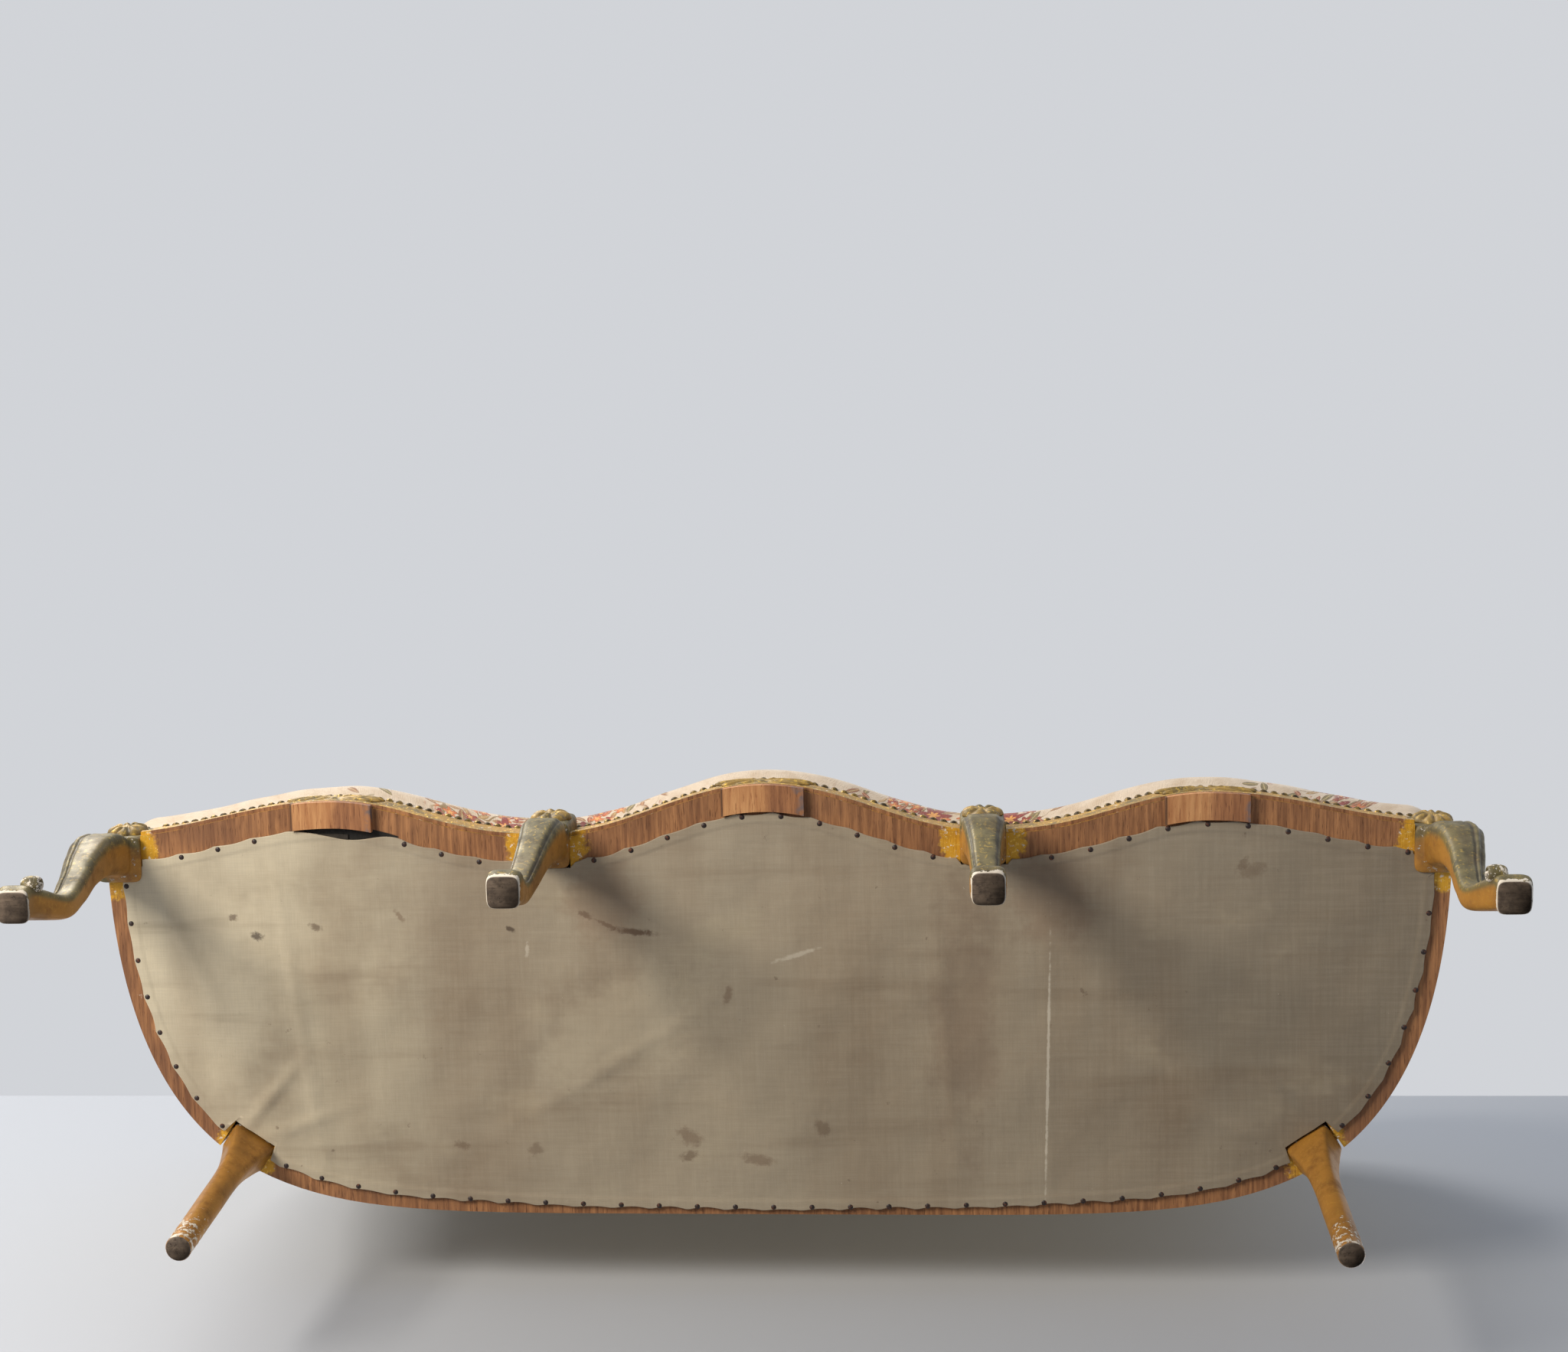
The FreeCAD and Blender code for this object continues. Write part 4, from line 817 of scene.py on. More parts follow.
def linen_material():
    """Dusty plain-weave linen: slubby threads, brown stains, rubbed marks and a pale crease, with
    painted light at the left, painted shade to the right and painted shadows beside the inner legs.
    """
    material, shader, place = new_material("dusty_linen", Roughness=0.92, Sheen_Weight=0.25,
                                           Sheen_Roughness=0.5)
    tree = shader.id_data
    x_here = axes(place)[0]
    threads = (noise(place, 900.0, 2.0, 0.6, (1.0, 0.03, 0.2))
               + noise(place, 900.0, 2.0, 0.6, (0.03, 1.0, 0.2)))
    slubs = (noise(place, 170.0, 3.0, 0.6, (0.05, 1.0, 0.2))
             + noise(place, 170.0, 3.0, 0.6, (1.0, 0.04, 0.2)))
    bands = noise(place, 9.0, 2.0, 0.5, (1.0, 0.12, 1.0))
    drawn = noise(place, 24.0, 3.0, 0.6, (0.10, 1.0, 1.0))
    blotch = noise(place, 4.0, 5.0, 0.60)
    pale = noise(place, 6.5, 4.0, 0.55, (1.0, 1.3, 1.0))
    specks = noise(place, 46.0, 4.0, 0.7)
    lint = noise(place, 150.0, 3.0, 0.7)
    # Painted light and shade: the cloth is painted lighter at the left as sunlit and darker towards
    # the right as shade, here and in the first row below.
    colour = mix(remap(x_here, -0.66, -0.40), srgb(200, 188, 162), srgb(160, 147, 126))
    for value, low, high, strength, tone in (
            (x_here, 0.15, 0.95, 0.85, srgb(118, 106, 88)),
            (bands, 0.40, 0.72, 0.45, srgb(134, 116, 94)),
            (drawn, 0.52, 0.74, 0.35, srgb(122, 104, 82)),
            (blotch, 0.48, 0.72, 0.50, srgb(118, 98, 76)),
            (pale, 0.55, 0.75, 0.35, srgb(186, 172, 144)),
            (specks, 0.67, 0.75, 0.55, srgb(96, 76, 58)),
            (lint, 0.74, 0.78, 0.6, srgb(214, 204, 186)),
            (slubs, 0.85, 1.25, 0.08, srgb(196, 186, 166)),
            (threads, 0.80, 1.20, 0.10, srgb(98, 88, 74))):
        colour = mix(remap(value, low, high, 0.0, strength), colour, tone)
    # Spots are stains and rubbed marks, except the two wide soft brown ones at (0.375, -0.190) and
    # (-0.220, -0.190), just right of the inner legs, which are painted shadows of those legs.
    for x, y, width, length, tilt, tone, strength in (
            (-0.178, -0.147, 0.030, 0.0045, 0.12, srgb(92, 70, 52), 0.85),
            (-0.215, -0.157, 0.016, 0.0030, 0.45, srgb(100, 78, 60), 0.7),
            (0.374, 0.042, 0.0020, 0.185, 0.026, srgb(206, 196, 178), 0.7),
            (0.040, -0.113, 0.032, 0.0035, -0.30, srgb(196, 186, 168), 0.6),
            (-0.324, -0.122, 0.003, 0.010, 0.10, srgb(204, 194, 176), 0.5),
            (-0.346, -0.151, 0.007, 0.004, 0.50, srgb(70, 54, 42), 0.8),
            (-0.243, -0.170, 0.010, 0.005, 0.40, srgb(92, 72, 56), 0.7),
            (-0.728, -0.169, 0.006, 0.005, 0.00, srgb(96, 78, 62), 0.7),
            (-0.695, -0.143, 0.009, 0.006, 0.30, srgb(70, 58, 50), 0.8),
            (-0.613, -0.156, 0.009, 0.005, 0.20, srgb(96, 78, 60), 0.7),
            (-0.497, -0.170, 0.010, 0.004, 0.90, srgb(120, 98, 76), 0.6),
            (-0.053, -0.059, 0.006, 0.013, 0.20, srgb(112, 90, 70), 0.6),
            (-0.110, 0.139, 0.018, 0.012, 0.60, srgb(108, 86, 66), 0.55),
            (-0.111, 0.166, 0.014, 0.007, -0.30, srgb(100, 80, 60), 0.6),
            (-0.015, 0.171, 0.022, 0.008, 0.20, srgb(108, 86, 66), 0.55),
            (0.071, 0.128, 0.013, 0.010, 0.90, srgb(104, 84, 64), 0.55),
            (-0.424, 0.151, 0.012, 0.006, 0.30, srgb(108, 86, 66), 0.55),
            (-0.322, 0.156, 0.010, 0.010, 0.00, srgb(110, 90, 70), 0.5),
            (0.645, -0.224, 0.018, 0.010, -0.30, srgb(104, 84, 64), 0.45),
            (0.630, -0.232, 0.006, 0.012, 0.70, srgb(96, 76, 58), 0.5),
            (0.375, -0.190, 0.060, 0.070, 0.00, srgb(122, 98, 78), 0.40),
            (0.264, -0.025, 0.045, 0.200, 0.00, srgb(120, 100, 82), 0.45),
            (-0.220, -0.190, 0.050, 0.060, 0.00, srgb(130, 104, 82), 0.35),
            (-0.190, -0.020, 0.130, 0.070, -0.50, srgb(188, 176, 152), 0.35)):
        spot = node(tree, "Mapping", {0: place, 1: (x, y, 0.0), 2: (0.0, 0.0, tilt),
                                      3: (width, length, 1000.0)}, vector_type="TEXTURE")[0]
        away = node(tree, "VectorMath", {0: spot}, operation="LENGTH")[1]
        fine = min(max(1.3 / math.sqrt(width * length), 12.0), 190.0)
        ragged = away + (noise(place, fine, 4.0, 0.7) - 0.5) * 2.2
        colour = mix(remap(ragged, 1.25, 0.45, 0.0, strength), colour, tone)
    wrinkle = noise(place, 10.0, 3.0, 0.5, (1.0, 1.0, 0.2))
    finish(shader, colour, None, (threads + slubs) * 0.09 + wrinkle * 6.0, 0.0008)
    return material


dusty_linen = linen_material()
dust_cover = new_piece("dust_cover_linen", points, faces, dusty_linen, "linen")
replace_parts(dust_cover, "dust_cover")


def iron_material():
    """Blued iron tack heads with a little brown rust."""
    material, shader, place = new_material("blued_iron", Specular_IOR_Level=0.4)
    rust = remap(noise(place, 260.0, 4.0, 0.6), 0.5, 0.68)
    finish(shader, mix(rust, srgb(44, 34, 32), srgb(96, 54, 34)), 0.45 + rust * 0.35, rust, 0.0002)
    return material


packed = bpy.data.objects["dust_cover_tacks"].data
points = np.empty(len(packed.vertices) * 3, np.float32)
packed.vertices.foreach_get("co", points)
points = points.reshape(-1, 3)
pulled = (np.abs(points[:, 0] - slot_x) < 0.074) & (points[:, 1] < -0.2)
heads = [list(face.vertices) for face in packed.polygons if not pulled[face.vertices[0]]]
kept, order = np.unique(np.concatenate(heads), return_inverse=True)
corners = np.cumsum([len(head) for head in heads])[:-1]
tacks = new_piece("tack_heads", points[kept], np.split(order, corners), iron_material(),
                  "tack_iron")
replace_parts(tacks, "dust_cover_tacks")

# Seat upholstery. Cream tapestry is drawn over the stuffed and sprung seat and down on to the
# rails' rebate, where a close row of nails holds it. Sprays of flowers gather by the inner legs.


def petals(cloth, scale, count, size, shift):
    """Mask, depth and random tint of one scattering of flowers, or of leaves if count is 0.

    A flower's edge is its size times 0.74 + 0.26 cos(petals x angle). A leaf's half width falls
    from its middle to its points as 1 - (length along it / size) squared.
    """
    tree = tree_of(cloth)
    moved = node(tree, "Mapping", {0: cloth, 1: (shift, shift * 0.7, 0.0)})[0]
    cell = node(tree, "TexVoronoi", {"Vector": moved, "Scale": scale, "Randomness": 0.85},
                voronoi_dimensions="2D")
    away = node(tree, "VectorMath", {0: moved, 1: cell["Position"]}, operation="SUBTRACT")[0]
    away_x, away_y, _ = axes(away)
    tint = node(tree, "SeparateColor", {0: cell["Color"]})
    way = maths("ARCTAN2", away_y, away_x)
    length = node(tree, "VectorMath", {0: away}, operation="LENGTH")[1]
    phase = tint[0] * 6.28
    if count:
        wave = maths("COSINE", way * float(count) + phase)
        share = length / ((0.74 + wave * 0.26) * size)
    else:
        turned_way = way + phase
        along = length * maths("COSINE", turned_way) / size
        taper = maths("MAXIMUM", 1.0 - along * along, 0.001)
        share = abs(length * maths("SINE", turned_way)) / (taper * (size * 0.36))
    return remap(share, 1.0, 0.90), share, tint


flower_cloth, given, made = new_group("flower_cloth", {"Cloth": "Vector", "Bloom": "Float"},
                                      {"Colour": "Color", "Height": "Float"})
cloth = given["Cloth"]
spray = noise(cloth, 7.0, 2.0, 0.5) + given["Bloom"]
ground = mix(remap(noise(cloth, 30.0, 4.0, 0.6), 0.4, 0.7), srgb(200, 182, 160),
             srgb(184, 162, 136))
stem = remap(abs(noise(cloth, 22.0, 1.0, 0.4) - 0.5), 0.016, 0.008) * remap(spray, 0.62, 0.72)
colour = mix(stem, ground, srgb(132, 104, 62))
relief = stem
for scale, count, size, shift, low, first, second, heart in (
        (34.0, 0, 0.0150, 0.0, 0.60, srgb(118, 102, 60), srgb(138, 92, 58), srgb(176, 154, 104)),
        (50.0, 0, 0.0105, 0.31, 0.65, srgb(146, 80, 52), srgb(160, 128, 80), srgb(190, 150, 104)),
        (40.0, 5, 0.0115, 0.53, 0.73, srgb(192, 106, 52), srgb(140, 52, 36), srgb(212, 158, 86)),
        (20.0, 6, 0.0255, 0.77, 0.82, srgb(130, 40, 28), srgb(192, 94, 42), srgb(216, 150, 72))):
    mask, share, tint = petals(cloth, scale, count, size, shift)
    where = mask * remap(spray + tint[2] * 0.06, low, low + 0.04)
    hue = mix(remap(tint[1], 0.45, 0.55), first, second)
    vein = (0.42, 0.28) if count else (0.20, 0.08)
    hue = mix(remap(share, *vein), hue, heart)
    hue = mix(remap(share, 0.66, 0.98, 0.0, 0.50), hue, srgb(76, 34, 24))
    colour = mix(where, colour, hue)
    relief = maths("MAXIMUM", relief, where)
ribs = (noise(cloth, 700.0, 1.0, 0.5, (1.0, 0.1, 1.0))
        + noise(cloth, 900.0, 1.0, 0.5, (0.1, 1.0, 1.0)))
worn = remap(noise(cloth, 260.0, 2.0, 0.6), 0.55, 0.75, 0.0, 0.30)
give_back(made, Colour=mix(worn, colour, srgb(224, 206, 180)), Height=ribs + relief * 0.5)


def tapestry_material():
    """Cream woollen tapestry with sprays of red and orange flowers, a little soiled."""
    material, shader, place = new_material("flower_tapestry", Roughness=0.88, Sheen_Weight=0.30,
                                           Sheen_Roughness=0.45)
    flowers = use_group(flower_cloth, Cloth=attribute(shader, "cloth", "Vector"),
                        Bloom=attribute(shader, "bloom"))
    soil = remap(noise(place, 9.0, 4.0, 0.6), 0.52, 0.78, 0.0, 0.35)
    finish(shader, mix(soil, flowers["Colour"], srgb(170, 146, 116)), None, flowers["Height"],
           0.0005)
    return material


def give_cloth(piece, place, bloom):
    """Store each point's place on the flat cloth, in metres, and how thickly flowers grow there."""
    layer = piece.data.attributes.new("cloth", "FLOAT_VECTOR", "POINT")
    flat = np.zeros((len(piece.data.vertices), 3), np.float32)
    flat[:, :2] = place.reshape(-1, 2)
    layer.data.foreach_set("vector", flat.ravel())
    layer = piece.data.attributes.new("bloom", "FLOAT", "POINT")
    layer.data.foreach_set("value", np.asarray(bloom, np.float32).ravel())


flower_tapestry = tapestry_material()
back_keep = 0.0465
pad_low, pad_edge_rise, pad_rise, pad_roll, pad_bulge = 0.3768, 0.022, 0.075, 0.130, 0.008


def seat_ring(inset, z):
    """Outline ring at an inset and height, kept inside the back frame behind the arm posts."""
    ring = seat_outline(inset)
    start = front_count + corner_count
    side = length_at_y(ring[front_count - 1, 1] + corner_radius(inset))
    s = np.linspace(side, -side, back_count)
    held = smoothstep(s_arm + 0.024 - np.abs(s), 0.0, 0.012) * float(z > rail_top + 0.0005)
    wanted = inset + held * max(back_keep - inset, 0.0)
    ring[start:start + back_count] = basket_point(s, -wanted)
    return np.roll(ring, -(start + back_count // 2), axis=0)


# Rings of the seat climb the border by a profile, roll over by a quarter ellipse, and shrink to a
# spine. The flat cloth follows each ring's run up the profile, and cosines pucker it by the nails.
sweep = np.radians(np.linspace(0.0, 90.0, 12))
profile = [(0.0027, 0.3604), (0.0012, 0.3604), (0.0008, 0.3660), (0.0000, 0.3720),
           (-0.0030, 0.3800), (-0.0066, 0.3885), (-0.0080, 0.3988)]
profile += [(pad_roll * (1 - math.cos(a)) - pad_bulge,
             pad_low + pad_edge_rise + (pad_rise - pad_edge_rise) * math.sin(a)) for a in sweep[1:]]
plans = [seat_ring(inset, z) for inset, z in profile]
heights = [np.full(len(plans[0]), z) for _, z in profile]
inner_plan = plans[-1]
spine = np.stack([np.clip(inner_plan[:, 0] * 0.75, -0.56, 0.56),
                  -0.045 + (inner_plan[:, 1] + 0.045) * 0.03], -1)
for share in np.linspace(0.0, 1.0, 18)[1:]:
    plans.append(inner_plan + (spine - inner_plan) * share)
    heights.append(np.full(len(inner_plan), profile[-1][1] + 0.010 * math.sin(share * math.pi / 2)))
plans, heights = np.stack(plans), np.stack(heights)
gaps = np.linalg.norm(np.diff(np.concatenate([plans, heights[..., None]], -1), axis=0), axis=-1)
run = np.concatenate([np.zeros((1, plans.shape[1])), np.cumsum(gaps, axis=0)])
roll_end = len(profile) - 1
outwards = plans[roll_end - 6] - plans[roll_end]
outwards = outwards / np.linalg.norm(outwards, axis=-1, keepdims=True)
flat_cloth = np.where((np.arange(len(plans)) < roll_end)[:, None, None],
                      plans[roll_end] + outwards * (run[roll_end] - run)[..., None], plans)
around = np.concatenate([[0.0], np.cumsum(np.linalg.norm(np.diff(plans[1], axis=0), axis=1))])
pucker = 0.0005 * np.cos(2 * np.pi * around / 0.014) * bump(run, 0.012, 0.007)
ripple = 0.0008 * np.sin(around * 60.0 + 2.0 * np.sin(around * 13.0)) * bump(run, 0.030, 0.018)
push = (pucker + ripple)[..., None] * outwards
points = np.concatenate([plans + push, heights[..., None]], -1)
bloom = -0.06 + sum(amount * bump(points[..., 0], x, width) for amount, x, width in (
    (0.54, -0.265, 0.100), (0.50, 0.265, 0.095), (0.34, 0.78, 0.070), (0.16, -0.42, 0.06),
    (0.14, 0.40, 0.06)))
bloom = np.where(run > 0.20, 0.14, bloom)
seat_cover = new_piece("seat_in_tapestry", points, tube_faces(points), flower_tapestry,
                       "tapestry")
give_cloth(seat_cover, flat_cloth, bloom)
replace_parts(seat_cover, "seat_pad", "seat_border")


def brass_material():
    """Antiqued brass: dark brown lacquer rubbed bright on the tops of the heads."""
    material, shader, place = new_material("antique_nail", IOR=1.45)
    rub = remap(noise(place, 120.0, 3.0, 0.6), 0.42, 0.62)
    finish(shader, mix(rub, srgb(62, 50, 30), srgb(150, 122, 66)), 0.52 - rub * 0.2, rub, 0.0001,
           0.55 + rub * 0.3)
    return material


dress(brass_material(), "seat_nails")

# Crest and arm rails. Five shaped lengths, dowelled end to end over the stiles and posts, make
# one moulded and gilded line round the back, which sweeps down to the arms and ends in scrolls.


def gilt_frame_material():
    """Worn gold over ochre, darker in the hollows of the mouldings."""
    material, shader, place = new_material("gilt_frame", IOR=1.45, Coat_Weight=0.12,
                                           Coat_Roughness=0.35)
    gilt = use_group(gilding, Place=place, Gold=srgb(168, 134, 64), Patina=srgb(86, 78, 50),
                     Dirt=0.52, Chips=0.31, Glint=0.6)
    colour = mix(attribute(shader, "hollow") * 0.7, gilt["Colour"], srgb(66, 48, 24))
    finish(shader, colour, gilt["Roughness"], gilt["Height"], 0.0006, gilt["Metal"])
    return material


gilt_frame = gilt_frame_material()
crest_inset = 0.022
s_inner = length_at_x(inner_leg[0])
s_arm_end = s_arm + 0.042
rail_half_depth = 0.024
rail_angle = circle(72)
moulding = flutes(rail_angle, np.radians([200, 232, 308, 340, 52, 128]), 0.075)


def crest_half(s):
    """Half the crest's upright height, which grows where the crest slopes."""
    slope = (crest_middle_z(s + 0.001) - crest_middle_z(s - 0.001)) / 0.002
    return 0.021 * np.hypot(1.0, slope)


def crest_rail(name, s0, s1, count):
    """Rounded rows across the rail, with a hollow run along each edge of its faces."""
    s = np.linspace(s0, s1, count)[:, None]
    depth = 0.0024 * moulding
    rise = squared(np.sin(rail_angle), 0.55) * (crest_half(s) - depth)
    outward = squared(np.cos(rail_angle), 0.55) * (rail_half_depth - depth)
    points = shell_point(s, outward - crest_inset, crest_middle_z(s) + rise)
    return new_piece(name, points, tube_faces(points), gilt_frame, "giltwood", hollow=moulding)


for name, s0, s1, count in (("crest_rail_left", -s_rear_leg, -s_inner, 60),
                            ("crest_rail_middle", -s_inner, s_inner, 70),
                            ("crest_rail_right", s_inner, s_rear_leg, 60),
                            ("arm_rail_left", -s_arm_end, -s_rear_leg, 100),
                            ("arm_rail_right", s_rear_leg, s_arm_end, 100)):
    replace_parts(crest_rail("moulded_" + name, s0, s1, count), name)


def scroll(name, side):
    """Round band that winds in by a spiral at the arm's end, thinner towards its middle."""
    t = np.linspace(0.0, 1.0, 90)[:, None]
    wind = 2 * np.pi * 1.6 * t
    radius = 0.0235 * (1 - t) ** 0.85 + 0.004
    thick = 0.0085 - 0.003 * t
    around = circle(14)[None]
    reach = radius + thick * np.cos(around)
    s = side * (s_arm_end + 0.002 + reach * np.sin(wind))
    z = float(crest_middle_z(s_arm_end)) - 0.006 + reach * np.cos(wind)
    outward = -crest_inset + (0.019 + 0.004 * t) * np.sin(around)
    points = shell_point(s, outward, z)
    new_piece(name, points, tube_faces(points, side > 0), gilt_frame, "giltwood",
              hollow=np.clip(-np.cos(around), 0, 1) * 0.6)


for hand, side in hands:
    scroll("arm_scroll_" + hand, side)

# Arm posts. An S-shaped post with a hollow down each face stands on the side rail behind each
# front corner and carries the arm.


post_half, post_inset = 0.021, 0.0235


def arm_post(name, side):
    """Rounded square rows whose middle sweeps forward, narrowing between the rail and the arm."""
    t = np.linspace(0.0, 1.0, 120)[:, None]
    z = rail_top + (float(crest_middle_z(s_arm)) - rail_top) * t
    keys = [0.0, 0.25, 0.5, 0.75, 1.0]
    shift = smooth_through(keys, [0.0, 0.5, 0.9, 0.7, 0.0], t) * 0.026
    size = smooth_through(keys, [1.0, 0.86, 0.78, 0.82, 1.0], t)
    boss = smoothstep(z, 0.440, 0.450) * smoothstep(z, 0.509, 0.499)
    size = size + (1.06 - size) * boss
    lines = flutes(np.mod(rail_angle, np.pi / 2), [np.pi / 4 - 0.32, np.pi / 4 + 0.32], 0.10)
    carved = smoothstep(t, 0.06, 0.14) * smoothstep(t, 0.92, 0.84) * (1.0 - boss)
    trim = 1.0 - 0.09 * lines * carved
    along = squared(np.cos(rail_angle), 0.5) * post_half * size * trim
    outward = squared(np.sin(rail_angle), 0.5) * post_half * (0.35 + 0.65 * size) * trim
    points = shell_point(side * (s_arm - shift) + along, outward - post_inset, z)
    return new_piece(name, points, tube_faces(points), gilt_frame, "giltwood",
                     hollow=lines * carved)


for hand, side in hands:
    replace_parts(arm_post("shaped_arm_post_" + hand, side), "arm_post_" + hand)

# Upholstery of the back and arms. Crowned pads in the same tapestry fill the frame inside, small
# pads top the arms, and plain cream cloth is stretched and nailed over the outside.


arm_far = s_arm - 0.013
seam = 0.002
pad_back = 0.0461


def pad_edges(s):
    """Heights of a pad's lower edge, below the seat's surface and lower in front, and its upper."""
    low = 0.4345 - 0.030 * smoothstep(np.abs(s), s_arm - 0.17, s_arm - 0.03)
    return low, crest_middle_z(s) - crest_half(s) + 0.0022


def arm_span(side):
    """The two lengths along the basket between which an arm's pad and cloth are stretched."""
    return sorted((side * (s_rear_leg + seam), side * arm_far))


def pad_swell(across, v):
    """Fullness of a pad: one over most of it, falling to nothing at its four edges."""
    return (1 - np.abs(across) ** 6.0) ** 0.5 * (1 - np.abs(v) ** 5.0) ** 0.5


def pad_inset(across, v, crown):
    """Depth of a pad's face behind the outer shell, from its fullness and crown."""
    return 0.0493 + (crown - 0.003) * pad_swell(across, v) * (0.8 + 0.2 * np.cos(v * 1.4))


def back_pad(name, s0, s1, crown, count):
    """Pad on the raked back: full in the middle, drawn in towards its four edges."""
    s = np.linspace(s0, s1, count)
    across = np.linspace(-1.0, 1.0, count)
    low, high = pad_edges(s)
    rows = 40
    v = np.linspace(-1.0, 1.0, rows)[:, None]
    z = (low + high) / 2 + (high - low) / 2 * v
    swell = pad_swell(across, v)
    wave = 0.0012 * np.sin(s * 47.0) * np.sin(v * 9.0 + s * 11.0)
    front = shell_point(s, -(pad_inset(across, v, crown) + wave * swell), z)
    points = np.concatenate([front, shell_point(s, -pad_back, z)[::-1]])
    faces = grid_faces(2 * rows, count, closed=False).tolist()
    a, b = np.arange(rows - 1) * count, (2 * rows - 1 - np.arange(rows - 1)) * count
    faces += np.stack([a, a + count, b - count, b], -1).tolist()
    a, b = a + count - 1, b + count - 1
    faces += np.stack([a, b, b - count, a + count], -1).tolist()
    a = np.arange(count - 1)
    b = a + (2 * rows - 1) * count
    faces += np.stack([b, b + 1, a + 1, a], -1).tolist()
    pad = new_piece(name, points, faces, flower_tapestry, "tapestry")
    run = np.concatenate([z, 2.0 - z[::-1]])
    give_cloth(pad, np.stack(np.broadcast_arrays(s, run), -1),
               np.concatenate([0.16 * swell, 0.0 * swell]))
    return pad


back_span = (-s_rear_leg + seam, s_rear_leg - seam)
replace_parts(back_pad("back_in_tapestry", *back_span, 0.052, 150), "back_pad")
for hand, side in hands:
    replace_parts(back_pad("arm_in_tapestry_" + hand, *arm_span(side), 0.034, 80),
                "arm_inner_pad_" + hand)


def braid_material():
    """Woven braid in dull gold and brown."""
    material, shader, place = new_material("braid", Roughness=0.85)
    twist = noise(place, 420.0, 2.0, 0.5)
    finish(shader, mix(remap(twist, 0.40, 0.60), srgb(128, 96, 52), srgb(186, 154, 96)), None,
           twist, 0.0008)
    return material


braid = braid_material()


def cord(name, s, z, inset):
    """Round cord sewn along a line, its thickness rippled by the twist."""
    around = circle(10)
    s, z, inset = s[:, None], np.reshape(z, (-1, 1)), np.reshape(inset, (-1, 1))
    radius = 0.0029 + 0.0005 * np.cos(2 * np.pi * s / 0.007)
    points = shell_point(s, -(inset + radius * np.sin(around)), z + radius * np.cos(around))
    new_piece(name, points, tube_faces(points), braid, "tapestry")


def pad_cord(name, s0, s1, crown, count):
    """Cord on a pad's face, a little below the pad's upper edge."""
    s = np.linspace(s0, s1, count)
    low, high = pad_edges(s)
    z = high - 0.0062
    v = (z - (low + high) / 2) / ((high - low) / 2)
    cord(name, s, z, pad_inset(np.linspace(-1.0, 1.0, count), v, crown))


pad_cord("back_cord", *back_span, 0.052, 900)
for hand, side in hands:
    pad_cord("arm_cord_" + hand, *arm_span(side), 0.034, 260)
cord("outside_cord", np.linspace(-arm_far, arm_far, 1400), rail_top - 0.0030, -0.0008)


def outside_material():
    """Plain cream cloth of a coarse flat weave."""
    material, shader, place = new_material("plain_cream_cloth", Roughness=0.9, Sheen_Weight=0.2)
    threads = (noise(place, 600.0, 2.0, 0.6, (1.0, 1.0, 0.05))
               + noise(place, 600.0, 2.0, 0.6, (0.06, 0.06, 1.0)))
    soil = remap(noise(place, 6.0, 4.0, 0.6), 0.5, 0.8, 0.0, 0.4)
    colour = mix(remap(threads, 0.8, 1.2), srgb(222, 206, 178), srgb(198, 180, 150))
    finish(shader, mix(soil, colour, srgb(164, 142, 112)), None, threads, 0.0006)
    return material


plain_cloth = outside_material()


def outside_cloth(name, node_name, s0, s1, count, rests_on):
    """Stretched sheet just outside the frame, from the rail's top to the crest's underside."""
    s = np.linspace(s0, s1, count)
    low = rail_top - 0.0035
    high = crest_middle_z(s) - crest_half(s) - 0.0006
    v = np.linspace(0.0, 1.0, 40)[:, None]
    z = low + (high - low) * v
    drawn = 0.0012 * np.sin(np.pi * v) * np.sin(np.pi * np.linspace(0, 1, count))
    pull = 0.0005 * np.abs(np.sin(np.pi * s / 0.024)) * (np.exp(-v / 0.03)
                                                       + np.exp(-(1 - v) / 0.03))
    inset = 0.0022 + drawn + pull - 0.0032 * smoothstep(z, rail_top + 0.004, rail_top - 0.0005)
    points = shell_point(s, -inset, z)
    faces = grid_faces(*points.shape[:2], closed=False)[:, ::-1]
    cloth = new_piece(name, points, faces, plain_cloth, "outside_cloth")
    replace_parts(cloth, node_name)
    width = abs(s1 - s0)
    width + 0.02
    float(np.mean(high - low)) * width


outside_cloth("outside_back_cloth", "outside_back", -s_rear_leg + 0.001, s_rear_leg - 0.001, 150,
              ["rear_rail"])
for hand, side in hands:
    outside_cloth("outside_arm_cloth_" + hand, "outside_arm_" + hand, *arm_span(side), 80,
                  ["side_rail_" + hand])


def arm_cushion(name, side):
    """Small pad on the arm: a flat base and a rounded top, tapered at both ends."""
    t = np.linspace(0.0, 1.0, 44)[:, None]
    s = side * (s_arm_end - 0.026 - 0.170 * t)
    swell = np.sqrt(np.sin(np.pi * (0.015 + 0.97 * t)))
    around = circle(48)
    half_across, height = 0.027, 0.022
    u = squared(np.cos(around), 0.7) * half_across * (0.45 + 0.55 * swell)
    lift = np.clip(np.sin(around), 0.0, 1.0) ** 0.8 * height * swell
    low = -0.002 * np.clip(-np.sin(around), 0.0, 1.0)
    edge_drop = -0.0052 * (np.abs(u) / half_across) ** 4
    base = crest_middle_z(s) + crest_half(s) + 0.0003
    z = base + lift + low + edge_drop * (lift < 0.004) + 0.0018
    points = shell_point(s, u - crest_inset, z)
    pad = new_piece(name, points, tube_faces(points, side > 0), flower_tapestry, "tapestry")
    give_cloth(pad, np.stack(np.broadcast_arrays(s, u + 0.3 * lift), -1), np.full(z.shape, 0.2))
    return pad


for hand, side in hands:
    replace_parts(arm_cushion("arm_cushion_" + hand, side), "armrest_pad_" + hand)

# Frame inside the upholstery. Sawn hardwood rails and posts, webbing, hessian and coil springs,
# none of which shows until the sofa is stripped.


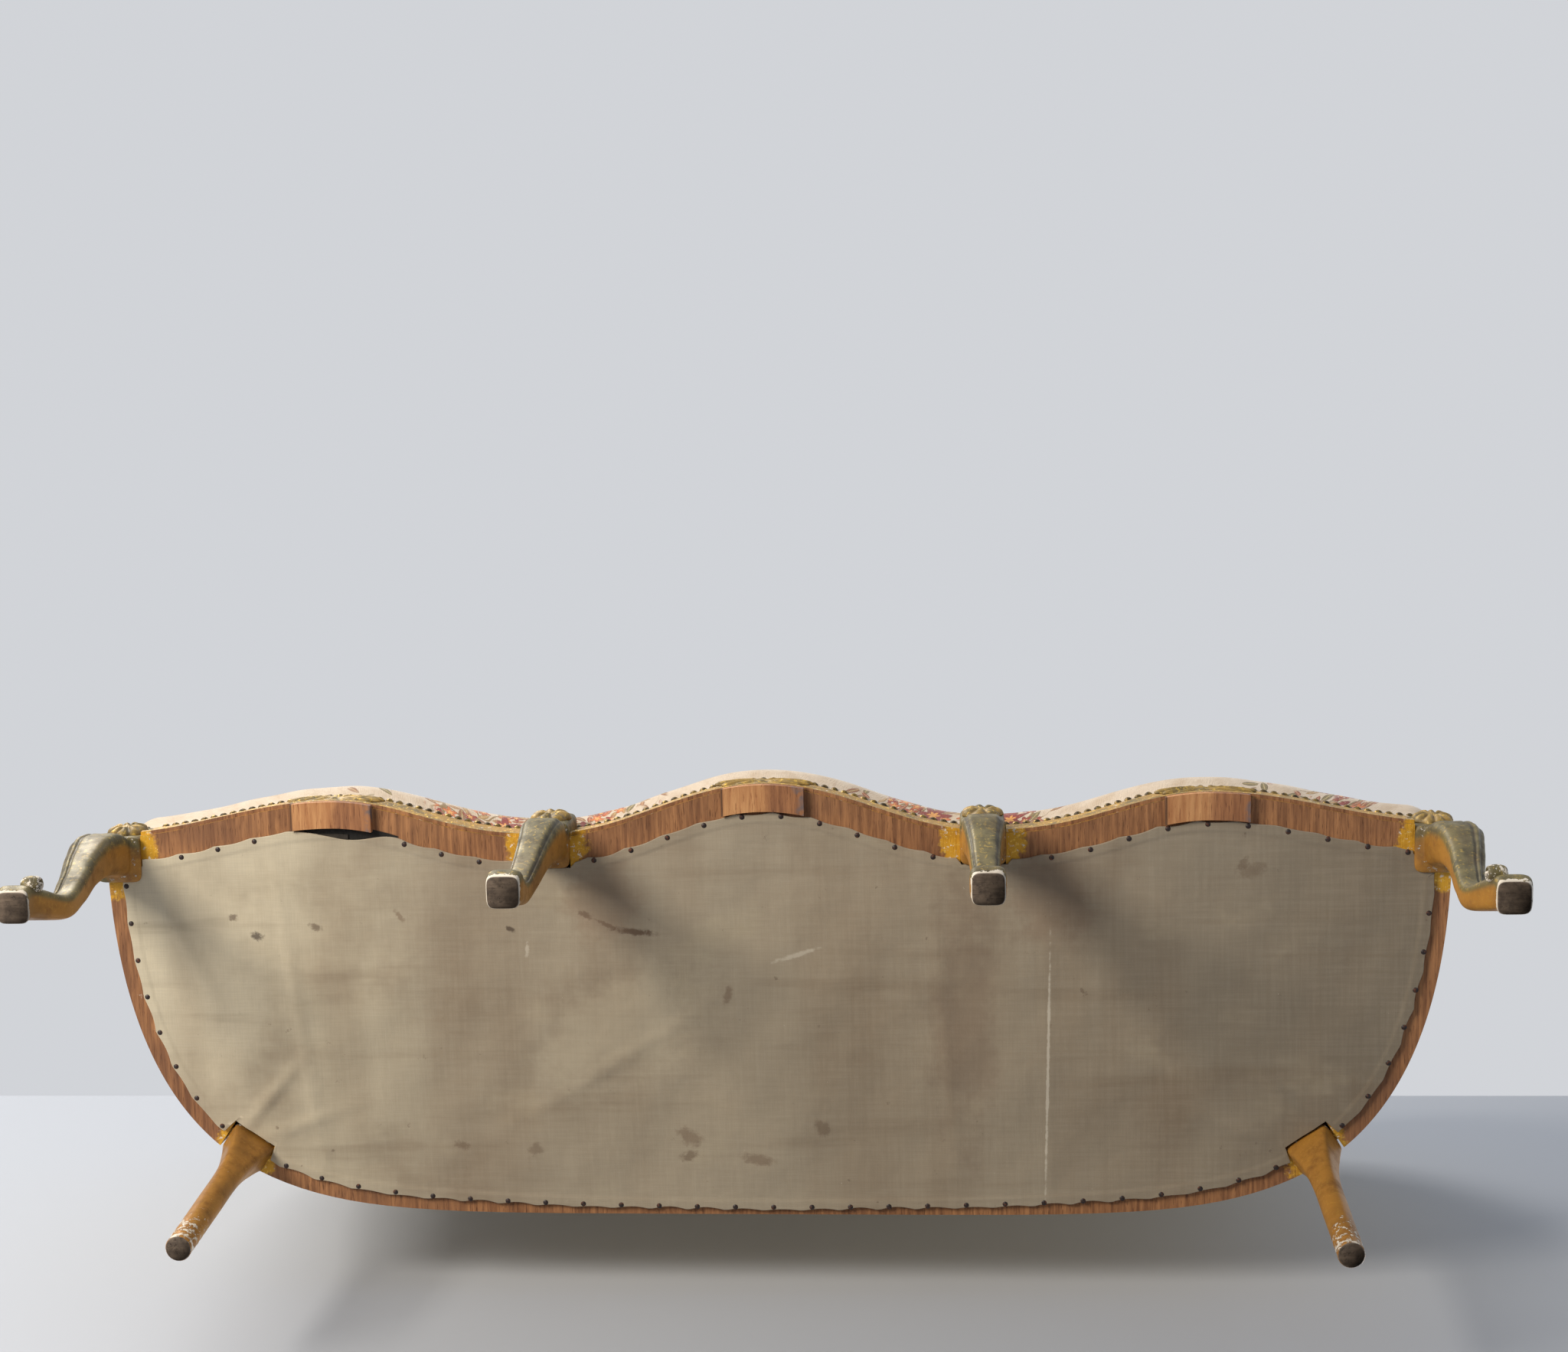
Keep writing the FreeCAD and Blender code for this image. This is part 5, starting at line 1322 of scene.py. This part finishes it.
def hidden_material(name, light, dark, fine, front_shade=0.0):
    """Bare sawn wood, jute or steel, from two tones of stretched noise, with painted shade near the
    front if asked.
    """
    material, shader, place = new_material(name)
    grain = noise(place, fine, 4.0, 0.6, (0.3, 1.0, 1.0))
    colour = mix(remap(grain, 0.35, 0.65), light, dark)
    # Painted shade: near black towards the front, where the webbing shows through the gap by the
    # dust cover.
    if front_shade:
        colour = mix(remap(axes(place)[1], -0.18, -0.22, 0.0, front_shade), colour, srgb(22, 17, 12))
    finish(shader, colour, 0.5 + grain * 0.4, grain, 0.0005)
    return material


dress(hidden_material("sawn_hardwood", srgb(196, 150, 104), srgb(150, 104, 66), 60.0),
      "cross_rail_left", "cross_rail_right", "corner_braces", "tenon_pegs", "crest_dowels",
      "back_upright_left", "back_upright_right", "back_lower_rail_left", "back_lower_rail_middle",
      "back_lower_rail_right", "arm_lower_rail_left", "arm_lower_rail_right")
dress(hidden_material("jute", srgb(170, 140, 96), srgb(124, 98, 62), 500.0, 0.97),
      "seat_webbing", "back_webbing", "arm_webbing", "seat_hessian")
dress(hidden_material("spring_wire", srgb(120, 116, 110), srgb(84, 78, 72), 200.0),
      "seat_springs")

# Carvings. Relief shells on the knees and the crest and leaf sprays over the blocks of the bows
# are carved, gessoed and gilded, with the gold rubbed off their high places.


def shell_relief(name, centre, size, height, lobes, bend=0.0, right=(1, 0, 0), up=(0, 0, 1),
                 out=(0, -1, 0)):
    """Fan of lobes: a scalloped disc that rises towards its middle and is ribbed like a shell.

    Its ends are moved by bend times its half height, up if bend is positive.
    """
    rings, count = 14, 72
    r = np.linspace(0.04, 1.0, rings)[:, None]
    phi = circle(count)
    ribs = np.abs(np.cos(phi * lobes / 2))
    reach = r * (1.0 + 0.10 * ribs - 0.08)
    rise = np.sqrt(np.clip(1 - r ** 2.6, 0, 1)) * (0.55 + 0.45 * ribs * smoothstep(r, 0.15, 0.5))
    rise = rise + 0.35 * bump(r, 0.0, 0.22)
    x, y = reach * np.cos(phi) * size[0], reach * np.sin(phi) * size[1]
    y = y + bend * size[1] * np.clip(x / size[0], -1, 1) ** 2
    right, up, out = np.array(right), np.array(up), np.array(out)
    base = x[..., None] * right + y[..., None] * up + np.array(centre)
    points = np.concatenate([base + (rise * height)[..., None] * out, base[-1:] - 0.002 * out])
    hollow = np.concatenate([(1 - ribs) * smoothstep(r, 0.2, 0.5) * 0.9, np.ones((1, count))])
    new_piece(name, points, tube_faces(points, np.dot(np.cross(right, up), out) >= 0),
              gilt_frame, "giltwood", hollow=hollow)


for hand, side in hands:
    x, y = side * corner_leg[0], corner_leg[1]
    shell_relief("knee_shell_front_" + hand, (x, y - half_block, 0.334), (0.026, 0.034), 0.011, 9)
    shell_relief("knee_shell_side_" + hand, (x + side * half_block, y, 0.334), (0.024, 0.034),
                 0.010, 9, right=(0, 1, 0), out=(side, 0, 0))
    x, y = side * inner_leg[0], inner_leg[1]
    shell_relief("knee_shell_inner_" + hand, (x, y - half_block, 0.330), (0.028, 0.030), 0.010, 7)
for name, x in (("left", -bow_side_x), ("middle", 0.0), ("right", bow_side_x)):
    shell_relief("bow_spray_" + name, (x, float(front_edge_y(x)) - 0.001, 0.329),
                 (0.066, 0.017), 0.0065, 15, -0.25)
shell_relief("crest_shell", shell_point(0.0, -crest_inset - 0.022, 0.986), (0.072, 0.030),
             0.017, 13, -0.5, up=(0, 0.06, 1))
for hand, side in hands:
    shell_relief("crest_leaf_" + hand, shell_point(side * 0.085, -crest_inset - 0.020, 0.966),
                 (0.062, 0.016), 0.011, 11, -0.4, (1, 0, -0.25 * side), (0.25 * side, 0.06, 1))
dress(gilt_frame, "crest_ornament")
